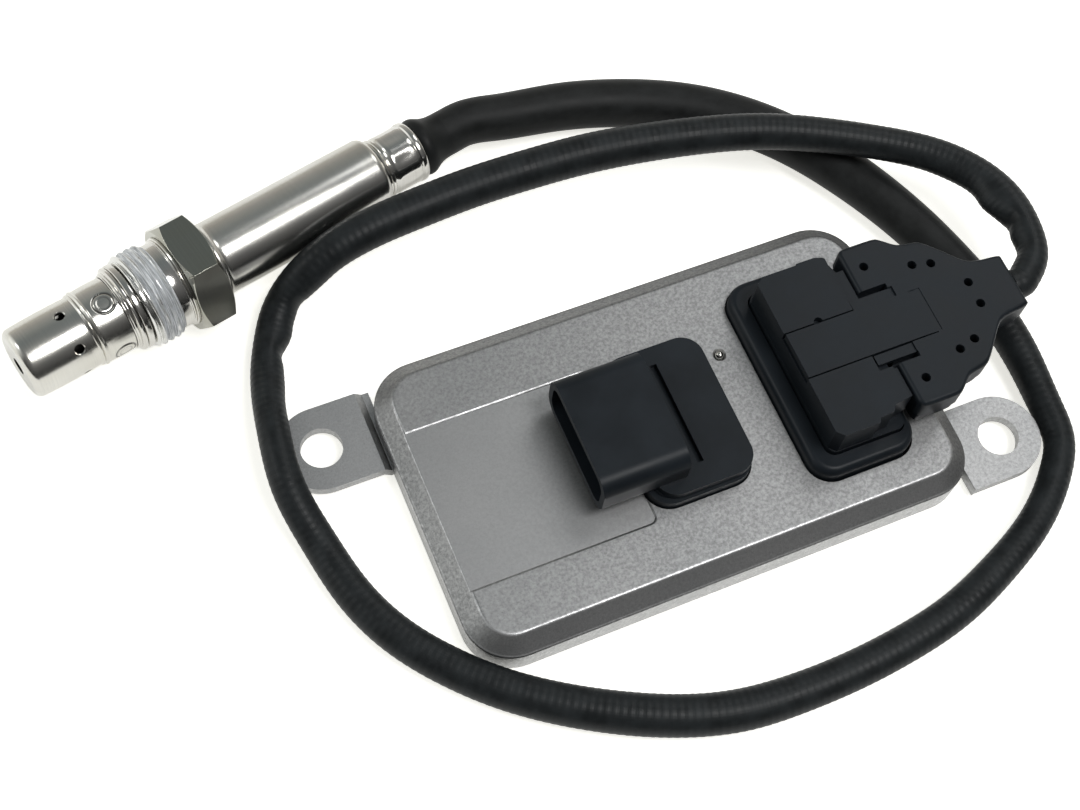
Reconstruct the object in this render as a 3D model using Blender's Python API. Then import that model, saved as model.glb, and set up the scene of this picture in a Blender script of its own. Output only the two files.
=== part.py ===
"""Nitrogen oxide sensor: probe with a captive M20 nut, armoured cable and flat control unit.

World frame in metres, +Z up. X runs along the control unit's long side, the floor is z = 0 and the
origin lies on the underside of the base plate, at the middle of the housing's window pattern.
Lengths below are in millimetres and are turned into metres where the meshes are made.
"""
import bpy
import bmesh
import math
import numpy as np
from mathutils import Matrix, Vector

MM = 0.001
GAP = 0.3                     # clearance between pieces that touch in the real product

# Control unit
HOUSING_X0 = -53.0
HOUSING_X1 = 54.5
HOUSING_HALF_Y = 32.35
HOUSING_CORNER = 9.8
WALL_BOTTOM = 0.3
RIM_Z = 6.9
BEVEL_RISE = 2.95
PLATEAU_Z = RIM_Z + BEVEL_RISE
PLATEAU_INSET = 3.8
PLATEAU_CORNER = 6.0
WALL = 2.0
ROOF = 1.6
ROOF_Z = PLATEAU_Z - ROOF
PLATE_THICK = 2.3
EAR_RISE = 1.6
EAR_HALF = 8.85
EAR_HOLE = 4.22
EAR_ROOT_STEP = 1.2
EAR_LEFT = (HOUSING_X0 - 11.7, HOUSING_HALF_Y - 10.0)
EAR_RIGHT = (HOUSING_X1 + 9.2, 8.05 - HOUSING_HALF_Y)

# Sensor header collar and the plug that is latched into it
PLUG_LONG = 17.1
PLUG_END_ROOM = 12.2          # from the plug to the housing's end
PLUG_SIDE_ROOM = 13.65        # from the plug to each of the housing's long sides
PLUG_X1 = HOUSING_X1 - PLUG_END_ROOM
PLUG_X0 = PLUG_X1 - PLUG_LONG
PLUG_HALF_Y = HOUSING_HALF_Y - PLUG_SIDE_ROOM
PLUG_RISE = 11.75
PLUG_TOP = PLATEAU_Z + PLUG_RISE
COLLAR_RIM = 3.9
COLLAR_END_RIM = 1.7
COLLAR_X0 = PLUG_X0 - COLLAR_RIM
COLLAR_X1 = PLUG_X1 + COLLAR_END_RIM
COLLAR_HALF_Y = PLUG_HALF_Y + COLLAR_RIM
COLLAR_CORNER = 5.0
COLLAR_RISE = 3.35
COLLAR_Z = PLATEAU_Z + COLLAR_RISE
FLANGE_WIDE = 1.9             # how far each header's flange reaches under the roof
FLANGE_THICK = 1.4
FLANGE_Z0 = ROOF_Z - 2.35
FLANGE_Z1 = FLANGE_Z0 + FLANGE_THICK
SENSOR_PINS = 8
COVER_X0 = PLUG_X1 + 1.2
COVER_LONG = 31.5
COVER_Z0 = COLLAR_Z + GAP
COVER_PART_Z = COVER_Z0 + 2.5
NECK_END = COVER_X0 + COVER_LONG
NECK_HALF_Y = 6.2
TONGUE_HALF_Y = 5.0
TONGUE_THICK = 1.7
TONGUE_END = COVER_X0 + 10.9
LATCH_WIDE = 2.2

# Vehicle connector header
HEADER_APART = 9.8            # between the two headers
HEADER_LONG = 22.3
HEADER_X1 = COLLAR_X0 - HEADER_APART
HEADER_X0 = HEADER_X1 - HEADER_LONG
HEADER_Y0 = 15.95 - HOUSING_HALF_Y
HEADER_Y1 = HOUSING_HALF_Y - 16.85
HEADER_CORNER = 5.0
HEADER_PLATE_Z = PLATEAU_Z + 4.45
SHROUD_REACH = 10.2
SHROUD_MOUTH_X = HEADER_X0 - SHROUD_REACH
SHROUD_BACK_X = HEADER_X0 + 7.8
SHROUD_HALF_Y = HEADER_Y1 - 2.6
SHROUD_TALL = 11.0
SHROUD_Z0 = PLATEAU_Z + 1.15
SHROUD_Z1 = SHROUD_Z0 + SHROUD_TALL
SHROUD_CORNER = 3.6
SHROUD_WALL = 1.5
SOCKET_DEPTH = 15.0
VEHICLE_PINS = 5
LABEL_X1 = HEADER_X0 - 0.2
LABEL_Y0 = HEADER_Y0 - 1.2
LABEL_Y1 = HEADER_Y1 + 1.1
LABEL_DEPTH = 0.25

# Probe, measured along its own axis from a point on it; the nut's rear face is the fixed station
PROBE_ANGLE = 0.2475
PROBE_TILT = 0.0458           # the probe lies on its nut, its cable end a little lower
PROBE_POINT = (-55.88, 69.84, 10.605)
TUBE_RADIUS = 7.8
TUBE_WALL = 0.45
BARREL_RADIUS = TUBE_RADIUS - 0.4
TAIL_RADIUS = TUBE_RADIUS - TUBE_WALL - GAP
THREAD_RADIUS = TUBE_RADIUS + 2.2
THREAD_PITCH = 1.5
THREAD_LONG = 9.5             # from the nut's front face to its hexagon
RELIEF_LONG = 3.2             # the plain neck in front of the hexagon
HEX_FLATS = 2 * THREAD_RADIUS + 2.0
HEX_LONG = 7.3
HEX_ROLL = math.radians(3.7)
NUT_BORE = BARREL_RADIUS + GAP
NUT_S1 = -18.0
HEX_S0 = NUT_S1 - HEX_LONG
NUT_S0 = HEX_S0 - THREAD_LONG
SHELL_RADIUS = TUBE_RADIUS + 0.05
CAP_RADIUS = SHELL_RADIUS - 0.4
CAP_WALL = 0.55
CAP_LONG = 21.8
CAP_S1 = NUT_S0 - 3.7
TIP_S = CAP_S1 - CAP_LONG
BEAD_S = CAP_S1 - 6.6
SPIGOT_RADIUS = SHELL_RADIUS - CAP_WALL - GAP
INNER_RADIUS = SPIGOT_RADIUS - 1.9
SHELL_BORE = BARREL_RADIUS - 2.5
INSULATOR_RADIUS = SHELL_BORE - GAP
SHELF_S = NUT_S0 - 1.7
TAIL_S1 = NUT_S1 + 8.0
SLEEVE_LONG = 40.6
SLEEVE_S0 = NUT_S1 + 0.4
SLEEVE_S1 = SLEEVE_S0 + SLEEVE_LONG
COLLAR_RADIUS = TUBE_RADIUS - 1.35
CRIMP_LONG = 9.3
BOOT_LONG = 7.0

# Cable
HOSE_DIAMETER = 10.0
SLEEVE_DIAMETER = 7.2

ROUND = 32                    # facets round a turned piece


def clear_scene():
    for obj in list(bpy.data.objects):
        bpy.data.objects.remove(obj, do_unlink=True)


def material(name, colour, metallic, roughness):
    mat = bpy.data.materials.new(name)
    mat.use_nodes = True
    shader = mat.node_tree.nodes["Principled BSDF"]
    shader.inputs["Base Color"].default_value = (*colour, 1.0)
    shader.inputs["Metallic"].default_value = metallic
    shader.inputs["Roughness"].default_value = roughness
    mat.diffuse_color = (*colour, 1.0)
    return mat


STEEL = ((0.62, 0.62, 0.60), 1.0, 0.25)
DARK_STEEL = ((0.42, 0.42, 0.40), 1.0, 0.35)
CERAMIC = ((0.90, 0.88, 0.82), 0.0, 0.5)
POWDER = ((0.75, 0.74, 0.70), 0.0, 0.9)
ALUMINIUM = ((0.55, 0.56, 0.56), 1.0, 0.55)
PLASTIC = ((0.025, 0.027, 0.03), 0.0, 0.55)
RUBBER = ((0.02, 0.02, 0.02), 0.0, 0.75)
BRASS = ((0.75, 0.60, 0.30), 1.0, 0.3)
BOARD = ((0.03, 0.20, 0.08), 0.0, 0.5)
CHIP = ((0.03, 0.03, 0.03), 0.0, 0.6)
SILICONE = ((0.35, 0.12, 0.08), 0.0, 0.7)


def finish(name, bm, look, smooth=False):
    """Makes the object from a bmesh in millimetres, with its faces turned outwards."""
    bmesh.ops.scale(bm, vec=(MM, MM, MM), verts=bm.verts)
    bmesh.ops.recalc_face_normals(bm, faces=bm.faces)
    mesh = bpy.data.meshes.new(name)
    bm.to_mesh(mesh)
    bm.free()
    obj = bpy.data.objects.new(name, mesh)
    bpy.context.scene.collection.objects.link(obj)
    if look is not None:
        mesh.materials.append(material(name, *look))
    if smooth:
        mesh.polygons.foreach_set("use_smooth", [True] * len(mesh.polygons))
        mesh.set_sharp_from_angle(angle=math.radians(35))
    return obj


def rounded(x0, x1, y0, y1, radius, steps=5):
    """Outline of a rectangle with round corners, anticlockwise."""
    points = []
    for cx, cy, start in ((x1 - radius, y1 - radius, 0), (x0 + radius, y1 - radius, 90),
                          (x0 + radius, y0 + radius, 180), (x1 - radius, y0 + radius, 270)):
        for i in range(steps + 1):
            a = math.radians(start + 90 * i / steps)
            points.append((cx + radius * math.cos(a), cy + radius * math.sin(a)))
    return points


def stack(name, sections, look, smooth=False):
    """Solid through sections of equal point count: each is (outline, z)."""
    bm = bmesh.new()
    rings = [[bm.verts.new((x, y, z)) for x, y in outline] for outline, z in sections]
    for low, high in zip(rings, rings[1:]):
        for i in range(len(low)):
            j = (i + 1) % len(low)
            bm.faces.new((low[i], low[j], high[j], high[i]))
    bm.faces.new(list(reversed(rings[0])))
    bm.faces.new(rings[-1])
    return finish(name, bm, look, smooth)


def prism(name, outline, z0, z1, look, smooth=False):
    return stack(name, [(outline, z0), (outline, z1)], look, smooth)


def ring_prism(name, outer, inner, z0, z1, look, smooth=False):
    """Flat frame between two outlines of equal point count."""
    bm = bmesh.new()
    loops = []
    for outline, z in ((outer, z0), (outer, z1), (inner, z1), (inner, z0)):
        loops.append([bm.verts.new((x, y, z)) for x, y in outline])
    for a, b in zip(loops, loops[1:] + loops[:1]):
        for i in range(len(a)):
            j = (i + 1) % len(a)
            bm.faces.new((a[i], a[j], b[j], b[i]))
    return finish(name, bm, look, smooth)


def box(name, x0, x1, y0, y1, z0, z1, look):
    return prism(name, [(x0, y0), (x1, y0), (x1, y1), (x0, y1)], z0, z1, look)


def turned(name, profile, look, facets=ROUND, smooth=True):
    """Spins a closed profile of (s, radius) round the local X axis."""
    bm = bmesh.new()
    loops = []
    for s, r in profile:
        if r < 1e-6:
            loops.append([bm.verts.new((s, 0, 0))])
            continue
        loops.append([bm.verts.new((s, r * math.cos(2 * math.pi * i / facets),
                                    r * math.sin(2 * math.pi * i / facets))) for i in range(facets)])
    pairs = list(zip(loops, loops[1:] + loops[:1]))
    for a, b in pairs:
        if len(a) == 1 and len(b) == 1:
            continue
        for i in range(facets):
            j = (i + 1) % facets
            if len(a) == 1:
                bm.faces.new((a[0], b[j], b[i]))
            elif len(b) == 1:
                bm.faces.new((a[i], a[j], b[0]))
            else:
                bm.faces.new((a[i], a[j], b[j], b[i]))
    return finish(name, bm, look, smooth)


def rod(name, base, direction, radius, length, look, facets=16, tip=None):
    """Straight round bar from base along direction, optionally with another end radius."""
    bm = bmesh.new()
    bmesh.ops.create_cone(bm, cap_ends=True, segments=facets, radius1=radius,
                          radius2=radius if tip is None else tip, depth=length)
    turn = Vector(direction).to_track_quat("Z", "Y").to_matrix().to_4x4()
    centre = Vector(base) + Vector(direction).normalized() * length / 2
    bmesh.ops.transform(bm, matrix=Matrix.Translation(centre) @ turn, verts=bm.verts)
    return finish(name, bm, look, True)


def as_cutter(obj):
    obj.hide_render = True
    obj.display_type = "WIRE"
    return obj


def boolean(obj, other, operation="DIFFERENCE"):
    mod = obj.modifiers.new(operation.title() + " " + other.name, "BOOLEAN")
    mod.object = as_cutter(other)
    mod.operation = operation
    mod.solver = "EXACT"
    return mod


def soften(obj, width, segments=2, angle=40):
    mod = obj.modifiers.new("Soft edges", "BEVEL")
    mod.width = width * MM
    mod.segments = segments
    mod.limit_method = "ANGLE"
    mod.angle_limit = math.radians(angle)
    mod.use_clamp_overlap = True
    return mod


def arc(s0, r0, s1, r1, steps, bulge_at_start):
    """Quarter-ellipse points from (s0, r0) to (s1, r1) in a turned profile."""
    points = []
    for i in range(1, steps):
        a = math.pi / 2 * i / steps
        if bulge_at_start:
            points.append((s0 + (s1 - s0) * (1 - math.cos(a)), r0 + (r1 - r0) * math.sin(a)))
        else:
            points.append((s0 + (s1 - s0) * math.sin(a), r0 + (r1 - r0) * (1 - math.cos(a))))
    return points


clear_scene()

# Probe: every turned piece shares one axis

probe_turn = Matrix.Rotation(PROBE_ANGLE, 4, "Z") @ Matrix.Rotation(PROBE_TILT, 4, "Y")
probe_frame = Matrix.Translation(Vector(PROBE_POINT) * MM) @ probe_turn


def on_probe(obj):
    obj.matrix_world = probe_frame
    return obj


def radial(theta):
    """Direction in the probe's own frame, theta measured from straight up towards the near side."""
    a = math.radians(theta)
    return (0.0, -math.sin(a), math.cos(a))


tip_radius = CAP_RADIUS - 0.1
cap = on_probe(turned("outer_protection_cap", [
    (TIP_S, 1.8), (TIP_S, tip_radius - 1.45)] + arc(TIP_S, tip_radius - 1.45, TIP_S + 1.5, tip_radius, 4, True) + [
    (TIP_S + 1.5, tip_radius), (BEAD_S - 0.7, CAP_RADIUS), (BEAD_S - 0.45, CAP_RADIUS + 0.3),
    (BEAD_S - 0.15, CAP_RADIUS + 0.3), (BEAD_S, CAP_RADIUS + 0.15), (BEAD_S + 0.15, SHELL_RADIUS + 0.1),
    (BEAD_S + 0.5, SHELL_RADIUS + 0.13), (BEAD_S + 0.7, SHELL_RADIUS), (CAP_S1, SHELL_RADIUS),
    (CAP_S1, SHELL_RADIUS - CAP_WALL), (BEAD_S + 0.4, SHELL_RADIUS - CAP_WALL),
    (BEAD_S - 0.6, CAP_RADIUS - CAP_WALL), (TIP_S + 1.8, CAP_RADIUS - CAP_WALL),
    (TIP_S + CAP_WALL, tip_radius - 1.75), (TIP_S + CAP_WALL, 1.8)], STEEL))
hole_s = TIP_S + 0.72 * (BEAD_S - TIP_S)
hole_mid = CAP_RADIUS - CAP_WALL / 2
dimple_s = CAP_S1 - 2.8
dimple_mid = SHELL_RADIUS + 0.06
bm = bmesh.new()
for k in range(6):
    way = Vector(radial(-10 + 60 * k))
    turn = way.to_track_quat("Z", "Y").to_matrix().to_4x4()
    bmesh.ops.create_cone(bm, cap_ends=True, segments=16, radius1=1.05, radius2=1.05, depth=3.0,
                          matrix=Matrix.Translation(Vector((hole_s, 0, 0)) + way * hole_mid) @ turn)
boolean(cap, on_probe(finish("cap_hole_cutter", bm, None)))
bm = bmesh.new()
for k in range(4):
    way = Vector(radial(6 + 90 * k))
    turn = way.to_track_quat("Z", "Y").to_matrix().to_4x4()
    bmesh.ops.create_cone(bm, cap_ends=True, segments=20, radius1=1.35, radius2=2.55, depth=0.75,
                          matrix=Matrix.Translation(Vector((dimple_s, 0, 0)) + way * dimple_mid) @ turn)
boolean(cap, on_probe(finish("cap_dimple_cutter", bm, None)))

INNER_WALL = 0.4
inner_s0 = TIP_S + 3.5
inner_tube = on_probe(turned("inner_protection_tube", [
    (inner_s0, 1.0), (inner_s0, INNER_RADIUS - 0.7), (inner_s0 + 0.7, INNER_RADIUS),
    (SHELF_S - 2.0 - GAP, INNER_RADIUS), (SHELF_S - 2.0 - GAP, INNER_RADIUS - INNER_WALL),
    (inner_s0 + 0.9, INNER_RADIUS - INNER_WALL), (inner_s0 + INNER_WALL, INNER_RADIUS - 0.9),
    (inner_s0 + INNER_WALL, 1.0)], STEEL, 24))
inner_hole_s = inner_s0 + 0.76 * (CAP_S1 - 5.3 - inner_s0)
bm = bmesh.new()
for k in range(3):
    way = Vector(radial(20 + 120 * k))
    turn = way.to_track_quat("Z", "Y").to_matrix().to_4x4()
    bmesh.ops.create_cone(bm, cap_ends=True, segments=12, radius1=0.8, radius2=0.8, depth=3.0,
                          matrix=Matrix.Translation(Vector((inner_hole_s, 0, 0)) + way * INNER_RADIUS) @ turn)
boolean(inner_tube, on_probe(finish("inner_hole_cutter", bm, None)))

RING_RADIUS = SHELL_RADIUS + 1.3
flange_s0 = CAP_S1 + GAP
probe_shell = on_probe(turned("probe_shell", [
    (CAP_S1 - 5.3, INNER_RADIUS + GAP), (CAP_S1 - 5.3, SPIGOT_RADIUS - 0.3), (CAP_S1 - 4.9, SPIGOT_RADIUS),
    (flange_s0, SPIGOT_RADIUS), (flange_s0, SHELL_RADIUS + 0.25), (flange_s0 + 0.3, SHELL_RADIUS + 0.4),
    (flange_s0 + 0.4, SHELL_RADIUS + 0.65), (flange_s0 + 0.75, RING_RADIUS - 0.1), (flange_s0 + 1.0, RING_RADIUS),
    (flange_s0 + 1.4, RING_RADIUS), (flange_s0 + 1.6, RING_RADIUS - 0.25), (flange_s0 + 1.6, BARREL_RADIUS),
    (NUT_S1 - 0.3, BARREL_RADIUS), (NUT_S1 + 0.1, TAIL_RADIUS), (TAIL_S1, TAIL_RADIUS), (TAIL_S1, SHELL_BORE),
    (SHELF_S, SHELL_BORE), (SHELF_S, SHELL_BORE - 1.5), (SHELF_S - 2.0, SHELL_BORE - 1.5),
    (SHELF_S - 2.0, INNER_RADIUS + GAP)], STEEL))

ring_s0 = flange_s0 + 1.6 + GAP
ring_s1 = NUT_S0 - GAP
sealing_ring = on_probe(turned("sealing_ring", [
    (ring_s0, NUT_BORE), (ring_s0, RING_RADIUS - 0.3), (ring_s0 + 0.3, RING_RADIUS),
    (ring_s1 - 0.3, RING_RADIUS), (ring_s1, RING_RADIUS - 0.3), (ring_s1, NUT_BORE)], STEEL))

# Captive nut: M20 x 1.5 thread form as rings, undercut neck and a 22 mm hexagon
root_radius = THREAD_RADIUS - 0.8
thread = [(NUT_S0, NUT_BORE + 0.05), (NUT_S0, root_radius - 0.05)]
thread_start = NUT_S0 + 0.2
turns = int((THREAD_LONG - RELIEF_LONG - 0.2) / THREAD_PITCH)
for k in range(turns):
    s = thread_start + k * THREAD_PITCH
    thread += [(s, root_radius), (s + 0.4 * THREAD_PITCH, THREAD_RADIUS), (s + 0.53 * THREAD_PITCH, THREAD_RADIUS)]
thread_end = thread_start + turns * THREAD_PITCH
thread += [(thread_end, root_radius), (thread_end + 0.2, root_radius - 0.1), (HEX_S0 + 0.5, root_radius - 0.1),
           (HEX_S0 + 0.5, NUT_BORE + 0.05)]
nut_body = on_probe(turned("mounting_nut", thread, STEEL))
chamfer = math.tan(math.radians(30))
across_corners = HEX_FLATS / math.sqrt(3)
bm = bmesh.new()
loops = []
for s, r in ((HEX_S0, 1.0), (NUT_S1, 1.0)):
    loops.append([bm.verts.new((s, across_corners * math.cos(math.radians(60 * i) + HEX_ROLL),
                                across_corners * math.sin(math.radians(60 * i) + HEX_ROLL)))
                  for i in range(6)])
bm.faces.new(loops[0])
bm.faces.new(loops[1])
for i in range(6):
    j = (i + 1) % 6
    bm.faces.new((loops[0][i], loops[0][j], loops[1][j], loops[1][i]))
hexagon = on_probe(finish("hexagon_blank", bm, None))
face_radius = HEX_FLATS / 2 - 0.15
blank_radius = across_corners + 0.5
rise = (blank_radius - face_radius) * chamfer
cone = on_probe(turned("hexagon_chamfer", [
    (HEX_S0 - 0.05, 0), (HEX_S0 - 0.05, face_radius), (HEX_S0 + rise, blank_radius), (NUT_S1 - rise, blank_radius),
    (NUT_S1 + 0.05, face_radius), (NUT_S1 + 0.05, 0)], None, 48))
boolean(hexagon, cone, "INTERSECT")
boolean(nut_body, hexagon, "UNION")
boolean(nut_body, on_probe(turned("nut_bore_cutter", [
    (NUT_S0 - 1, 0), (NUT_S0 - 1, NUT_BORE), (NUT_S1 + 1, NUT_BORE), (NUT_S1 + 1, 0)], None, ROUND)))

ELEMENT_WIDE = SHELL_BORE - 0.9
ELEMENT_THICK = 1.3


def probe_box(name, s0, s1, y0, y1, z0, z1, look):
    return on_probe(box(name, s0, s1, y0, y1, z0, z1, look))


probe_box("sensing_element", TIP_S + 7.0, TAIL_S1 + 18.0, -ELEMENT_WIDE / 2, ELEMENT_WIDE / 2,
          -ELEMENT_THICK / 2, ELEMENT_THICK / 2, CERAMIC)
SLOT_Y = ELEMENT_WIDE / 2 + GAP
SLOT_Z = ELEMENT_THICK / 2 + GAP
front_s1 = SHELF_S + 6.1
talc_s1 = front_s1 + 5.3
for name, s0, s1, look in (("front_insulator", SHELF_S + GAP, front_s1, CERAMIC),
                           ("talc_seal", front_s1 + GAP, talc_s1, POWDER),
                           ("rear_insulator", talc_s1 + GAP, TAIL_S1 - 3.0, CERAMIC)):
    piece = on_probe(turned(name, [(s0, 0), (s0, INSULATOR_RADIUS - 0.3), (s0 + 0.3, INSULATOR_RADIUS),
                                   (s1 - 0.3, INSULATOR_RADIUS), (s1, INSULATOR_RADIUS - 0.3), (s1, 0)], look, 20))
    boolean(piece, probe_box(name + "_slot_cutter", s0 - 1, s1 + 1, -SLOT_Y, SLOT_Y, -SLOT_Z, SLOT_Z, None))
press_s0 = TAIL_S1 - 3.0 + GAP
press_bore = INSULATOR_RADIUS - 1.9
on_probe(turned("press_ring", [(press_s0, press_bore), (press_s0, INSULATOR_RADIUS),
                               (press_s0 + 1.0, INSULATOR_RADIUS), (press_s0 + 1.0, press_bore)], STEEL, 24))

sleeve_bore = TUBE_RADIUS - TUBE_WALL
GROMMET_RADIUS = COLLAR_RADIUS - 0.85
protective_sleeve = on_probe(turned("protective_sleeve", [
    (SLEEVE_S0, sleeve_bore), (SLEEVE_S0, TUBE_RADIUS + 0.5), (SLEEVE_S0 + 0.25, TUBE_RADIUS + 0.75),
    (SLEEVE_S0 + 0.6, TUBE_RADIUS + 0.7), (SLEEVE_S0 + 1.0, TUBE_RADIUS + 0.25), (SLEEVE_S0 + 1.6, TUBE_RADIUS),
    (SLEEVE_S1 - 1.4, TUBE_RADIUS)] + arc(SLEEVE_S1 - 1.4, TUBE_RADIUS, SLEEVE_S1, COLLAR_RADIUS - 0.05, 5, False) + [
    (SLEEVE_S1, COLLAR_RADIUS - 0.05), (SLEEVE_S1, GROMMET_RADIUS + 0.4), (SLEEVE_S1 - 0.6, GROMMET_RADIUS + 0.4),
    (SLEEVE_S1 - 1.7, sleeve_bore)], STEEL))

CONTACT_THICK = 0.35
CARRIER_RADIUS = sleeve_bore - 0.95
CARRIER_BACK = 9.0
CARRIER_LONG = 13.0
carrier_s0 = TAIL_S1 + CARRIER_BACK
carrier_s1 = carrier_s0 + CARRIER_LONG
spring_s0 = carrier_s0 + 4.0
spring_s1 = spring_s0 + 5.0
carrier_gap = SLOT_Z + CONTACT_THICK + GAP
for name, side in (("contact_carrier_upper", 1), ("contact_carrier_lower", -1)):
    carrier = on_probe(turned(name, [
        (carrier_s0, 0), (carrier_s0, CARRIER_RADIUS - 0.5), (carrier_s0 + 0.5, CARRIER_RADIUS),
        (carrier_s1 - 0.5, CARRIER_RADIUS), (carrier_s1, CARRIER_RADIUS - 0.5), (carrier_s1, 0)], CERAMIC, 20))
    z0, z1 = (-TUBE_RADIUS, carrier_gap) if side > 0 else (-carrier_gap, TUBE_RADIUS)
    boolean(carrier, probe_box(name + "_cutter", carrier_s0 - 1, carrier_s1 + 1, -TUBE_RADIUS, TUBE_RADIUS, z0, z1,
                               None))
for side, row in ((1, "upper"), (-1, "lower")):
    for k in range(4):
        y = (k - 1.5) * ELEMENT_WIDE / 4
        z0 = SLOT_Z if side > 0 else -SLOT_Z - CONTACT_THICK
        probe_box("contact_%s_%d" % (row, k + 1), carrier_s0 - 1.0, carrier_s1 + 4.5, y - 0.3, y + 0.3, z0,
                  z0 + CONTACT_THICK, BRASS)
on_probe(turned("carrier_spring", [(spring_s0, CARRIER_RADIUS + GAP), (spring_s0, sleeve_bore - GAP),
                                   (spring_s1, sleeve_bore - GAP), (spring_s1, CARRIER_RADIUS + GAP)], STEEL, 24))
grommet_s0 = SLEEVE_S1 - 2.6
grommet_s1 = grommet_s0 + 11.7
grommet = on_probe(turned("cable_grommet", [
    (grommet_s0, 0), (grommet_s0, GROMMET_RADIUS - 0.4), (grommet_s0 + 0.4, GROMMET_RADIUS),
    (grommet_s1 - 0.4, GROMMET_RADIUS), (grommet_s1, GROMMET_RADIUS - 0.4), (grommet_s1, 0)], RUBBER, 20))
bm = bmesh.new()
for k in range(8):
    a = 2 * math.pi * (k + 0.5) / 8
    bmesh.ops.create_cone(bm, cap_ends=True, segments=8, radius1=0.75, radius2=0.75, depth=16.0,
                          matrix=Matrix.Translation((grommet_s0 + 5.8, 3.5 * math.cos(a), 3.5 * math.sin(a)))
                          @ Matrix.Rotation(math.pi / 2, 4, "Y"))
boolean(grommet, on_probe(finish("grommet_bore_cutter", bm, None)))

crimp_s0 = SLEEVE_S1 + GAP
crimp_s1 = crimp_s0 + CRIMP_LONG
on_probe(turned("crimp_collar", [
    (crimp_s0, COLLAR_RADIUS - 0.55), (crimp_s0, COLLAR_RADIUS - 0.4), (crimp_s0 + 0.3, COLLAR_RADIUS - 0.25),
    (crimp_s0 + 0.5, COLLAR_RADIUS + 0.05), (crimp_s0 + 1.0, COLLAR_RADIUS + 0.05),
    (crimp_s0 + 1.2, COLLAR_RADIUS - 0.25), (crimp_s0 + 1.6, COLLAR_RADIUS - 0.3),
    (crimp_s0 + 1.9, COLLAR_RADIUS - 0.1), (crimp_s0 + 2.2, COLLAR_RADIUS), (crimp_s1 - 1.85, COLLAR_RADIUS),
    (crimp_s1 - 1.6, COLLAR_RADIUS - 0.15), (crimp_s1 - 1.35, COLLAR_RADIUS - 0.15),
    (crimp_s1 - 1.15, COLLAR_RADIUS + 0.15), (crimp_s1 - 0.25, COLLAR_RADIUS + 0.15),
    (crimp_s1, COLLAR_RADIUS - 0.05), (crimp_s1, COLLAR_RADIUS - 0.55)], STEEL))
boot_s0 = crimp_s1 + GAP
BOOT_END = boot_s0 + BOOT_LONG
boot_neck = HOSE_DIAMETER / 2
on_probe(turned("cable_boot", [
    (boot_s0, boot_neck - 1.6), (boot_s0, boot_neck + 0.7), (boot_s0 + 0.35, boot_neck + 1.05),
    (boot_s0 + 1.15, boot_neck + 1.25), (boot_s0 + 2.15, boot_neck + 1.2), (boot_s0 + 3.15, boot_neck + 0.8),
    (boot_s0 + 4.05, boot_neck + 0.3), (boot_s0 + 4.95, boot_neck + 0.05), (BOOT_END, boot_neck),
    (BOOT_END, boot_neck - 1.6)], RUBBER))

# Cable: smooth curve through route points measured on the floor, then a plain tube


def spline(points, count):
    """Natural cubic through the points, read at equal steps of chord length."""
    p = np.array(points, float)
    t = np.concatenate([[0], np.cumsum(np.linalg.norm(np.diff(p, axis=0), axis=1))])
    n = len(p)
    h = np.diff(t)
    a = np.zeros((n, n))
    rhs = np.zeros((n, 3))
    a[0, 0] = 1
    a[-1, -1] = 1
    for i in range(1, n - 1):
        a[i, i - 1] = h[i - 1]
        a[i, i] = 2 * (h[i - 1] + h[i])
        a[i, i + 1] = h[i]
        rhs[i] = 6 * ((p[i + 1] - p[i]) / h[i] - (p[i] - p[i - 1]) / h[i - 1])
    m = np.linalg.solve(a, rhs)
    out = []
    for u in np.linspace(0, t[-1], count):
        i = min(max(int(np.searchsorted(t, u) - 1), 0), n - 2)
        x = (u - t[i]) / h[i]
        out.append((1 - x) * p[i] + x * p[i + 1]
                   + h[i] ** 2 / 6 * (((1 - x) ** 3 - (1 - x)) * m[i] + (x ** 3 - x) * m[i + 1]))
    return out


def cord(name, points, count, diameter, look, first=None, last=None):
    """Tube along the smooth route; first and last add a straight run square to the face it meets."""
    curve = bpy.data.curves.new(name, "CURVE")
    curve.dimensions = "3D"
    curve.bevel_depth = diameter / 2 * MM
    curve.bevel_resolution = 2
    curve.use_fill_caps = True
    line = curve.splines.new("POLY")
    route = spline(points, count)
    if first is not None:
        route.insert(0, first)
    if last is not None:
        route.append(last)
    line.points.add(len(route) - 1)
    for point, (x, y, z) in zip(line.points, route):
        point.co = (x * MM, y * MM, z * MM, 1)
    curve.materials.append(material(name, *look))
    obj = bpy.data.objects.new(name, curve)
    bpy.context.scene.collection.objects.link(obj)
    return obj


def probe_point(s):
    """The point of the probe's axis at station s, in the world."""
    return tuple(Vector(PROBE_POINT) + probe_turn @ Vector((s, 0, 0)))


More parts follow.
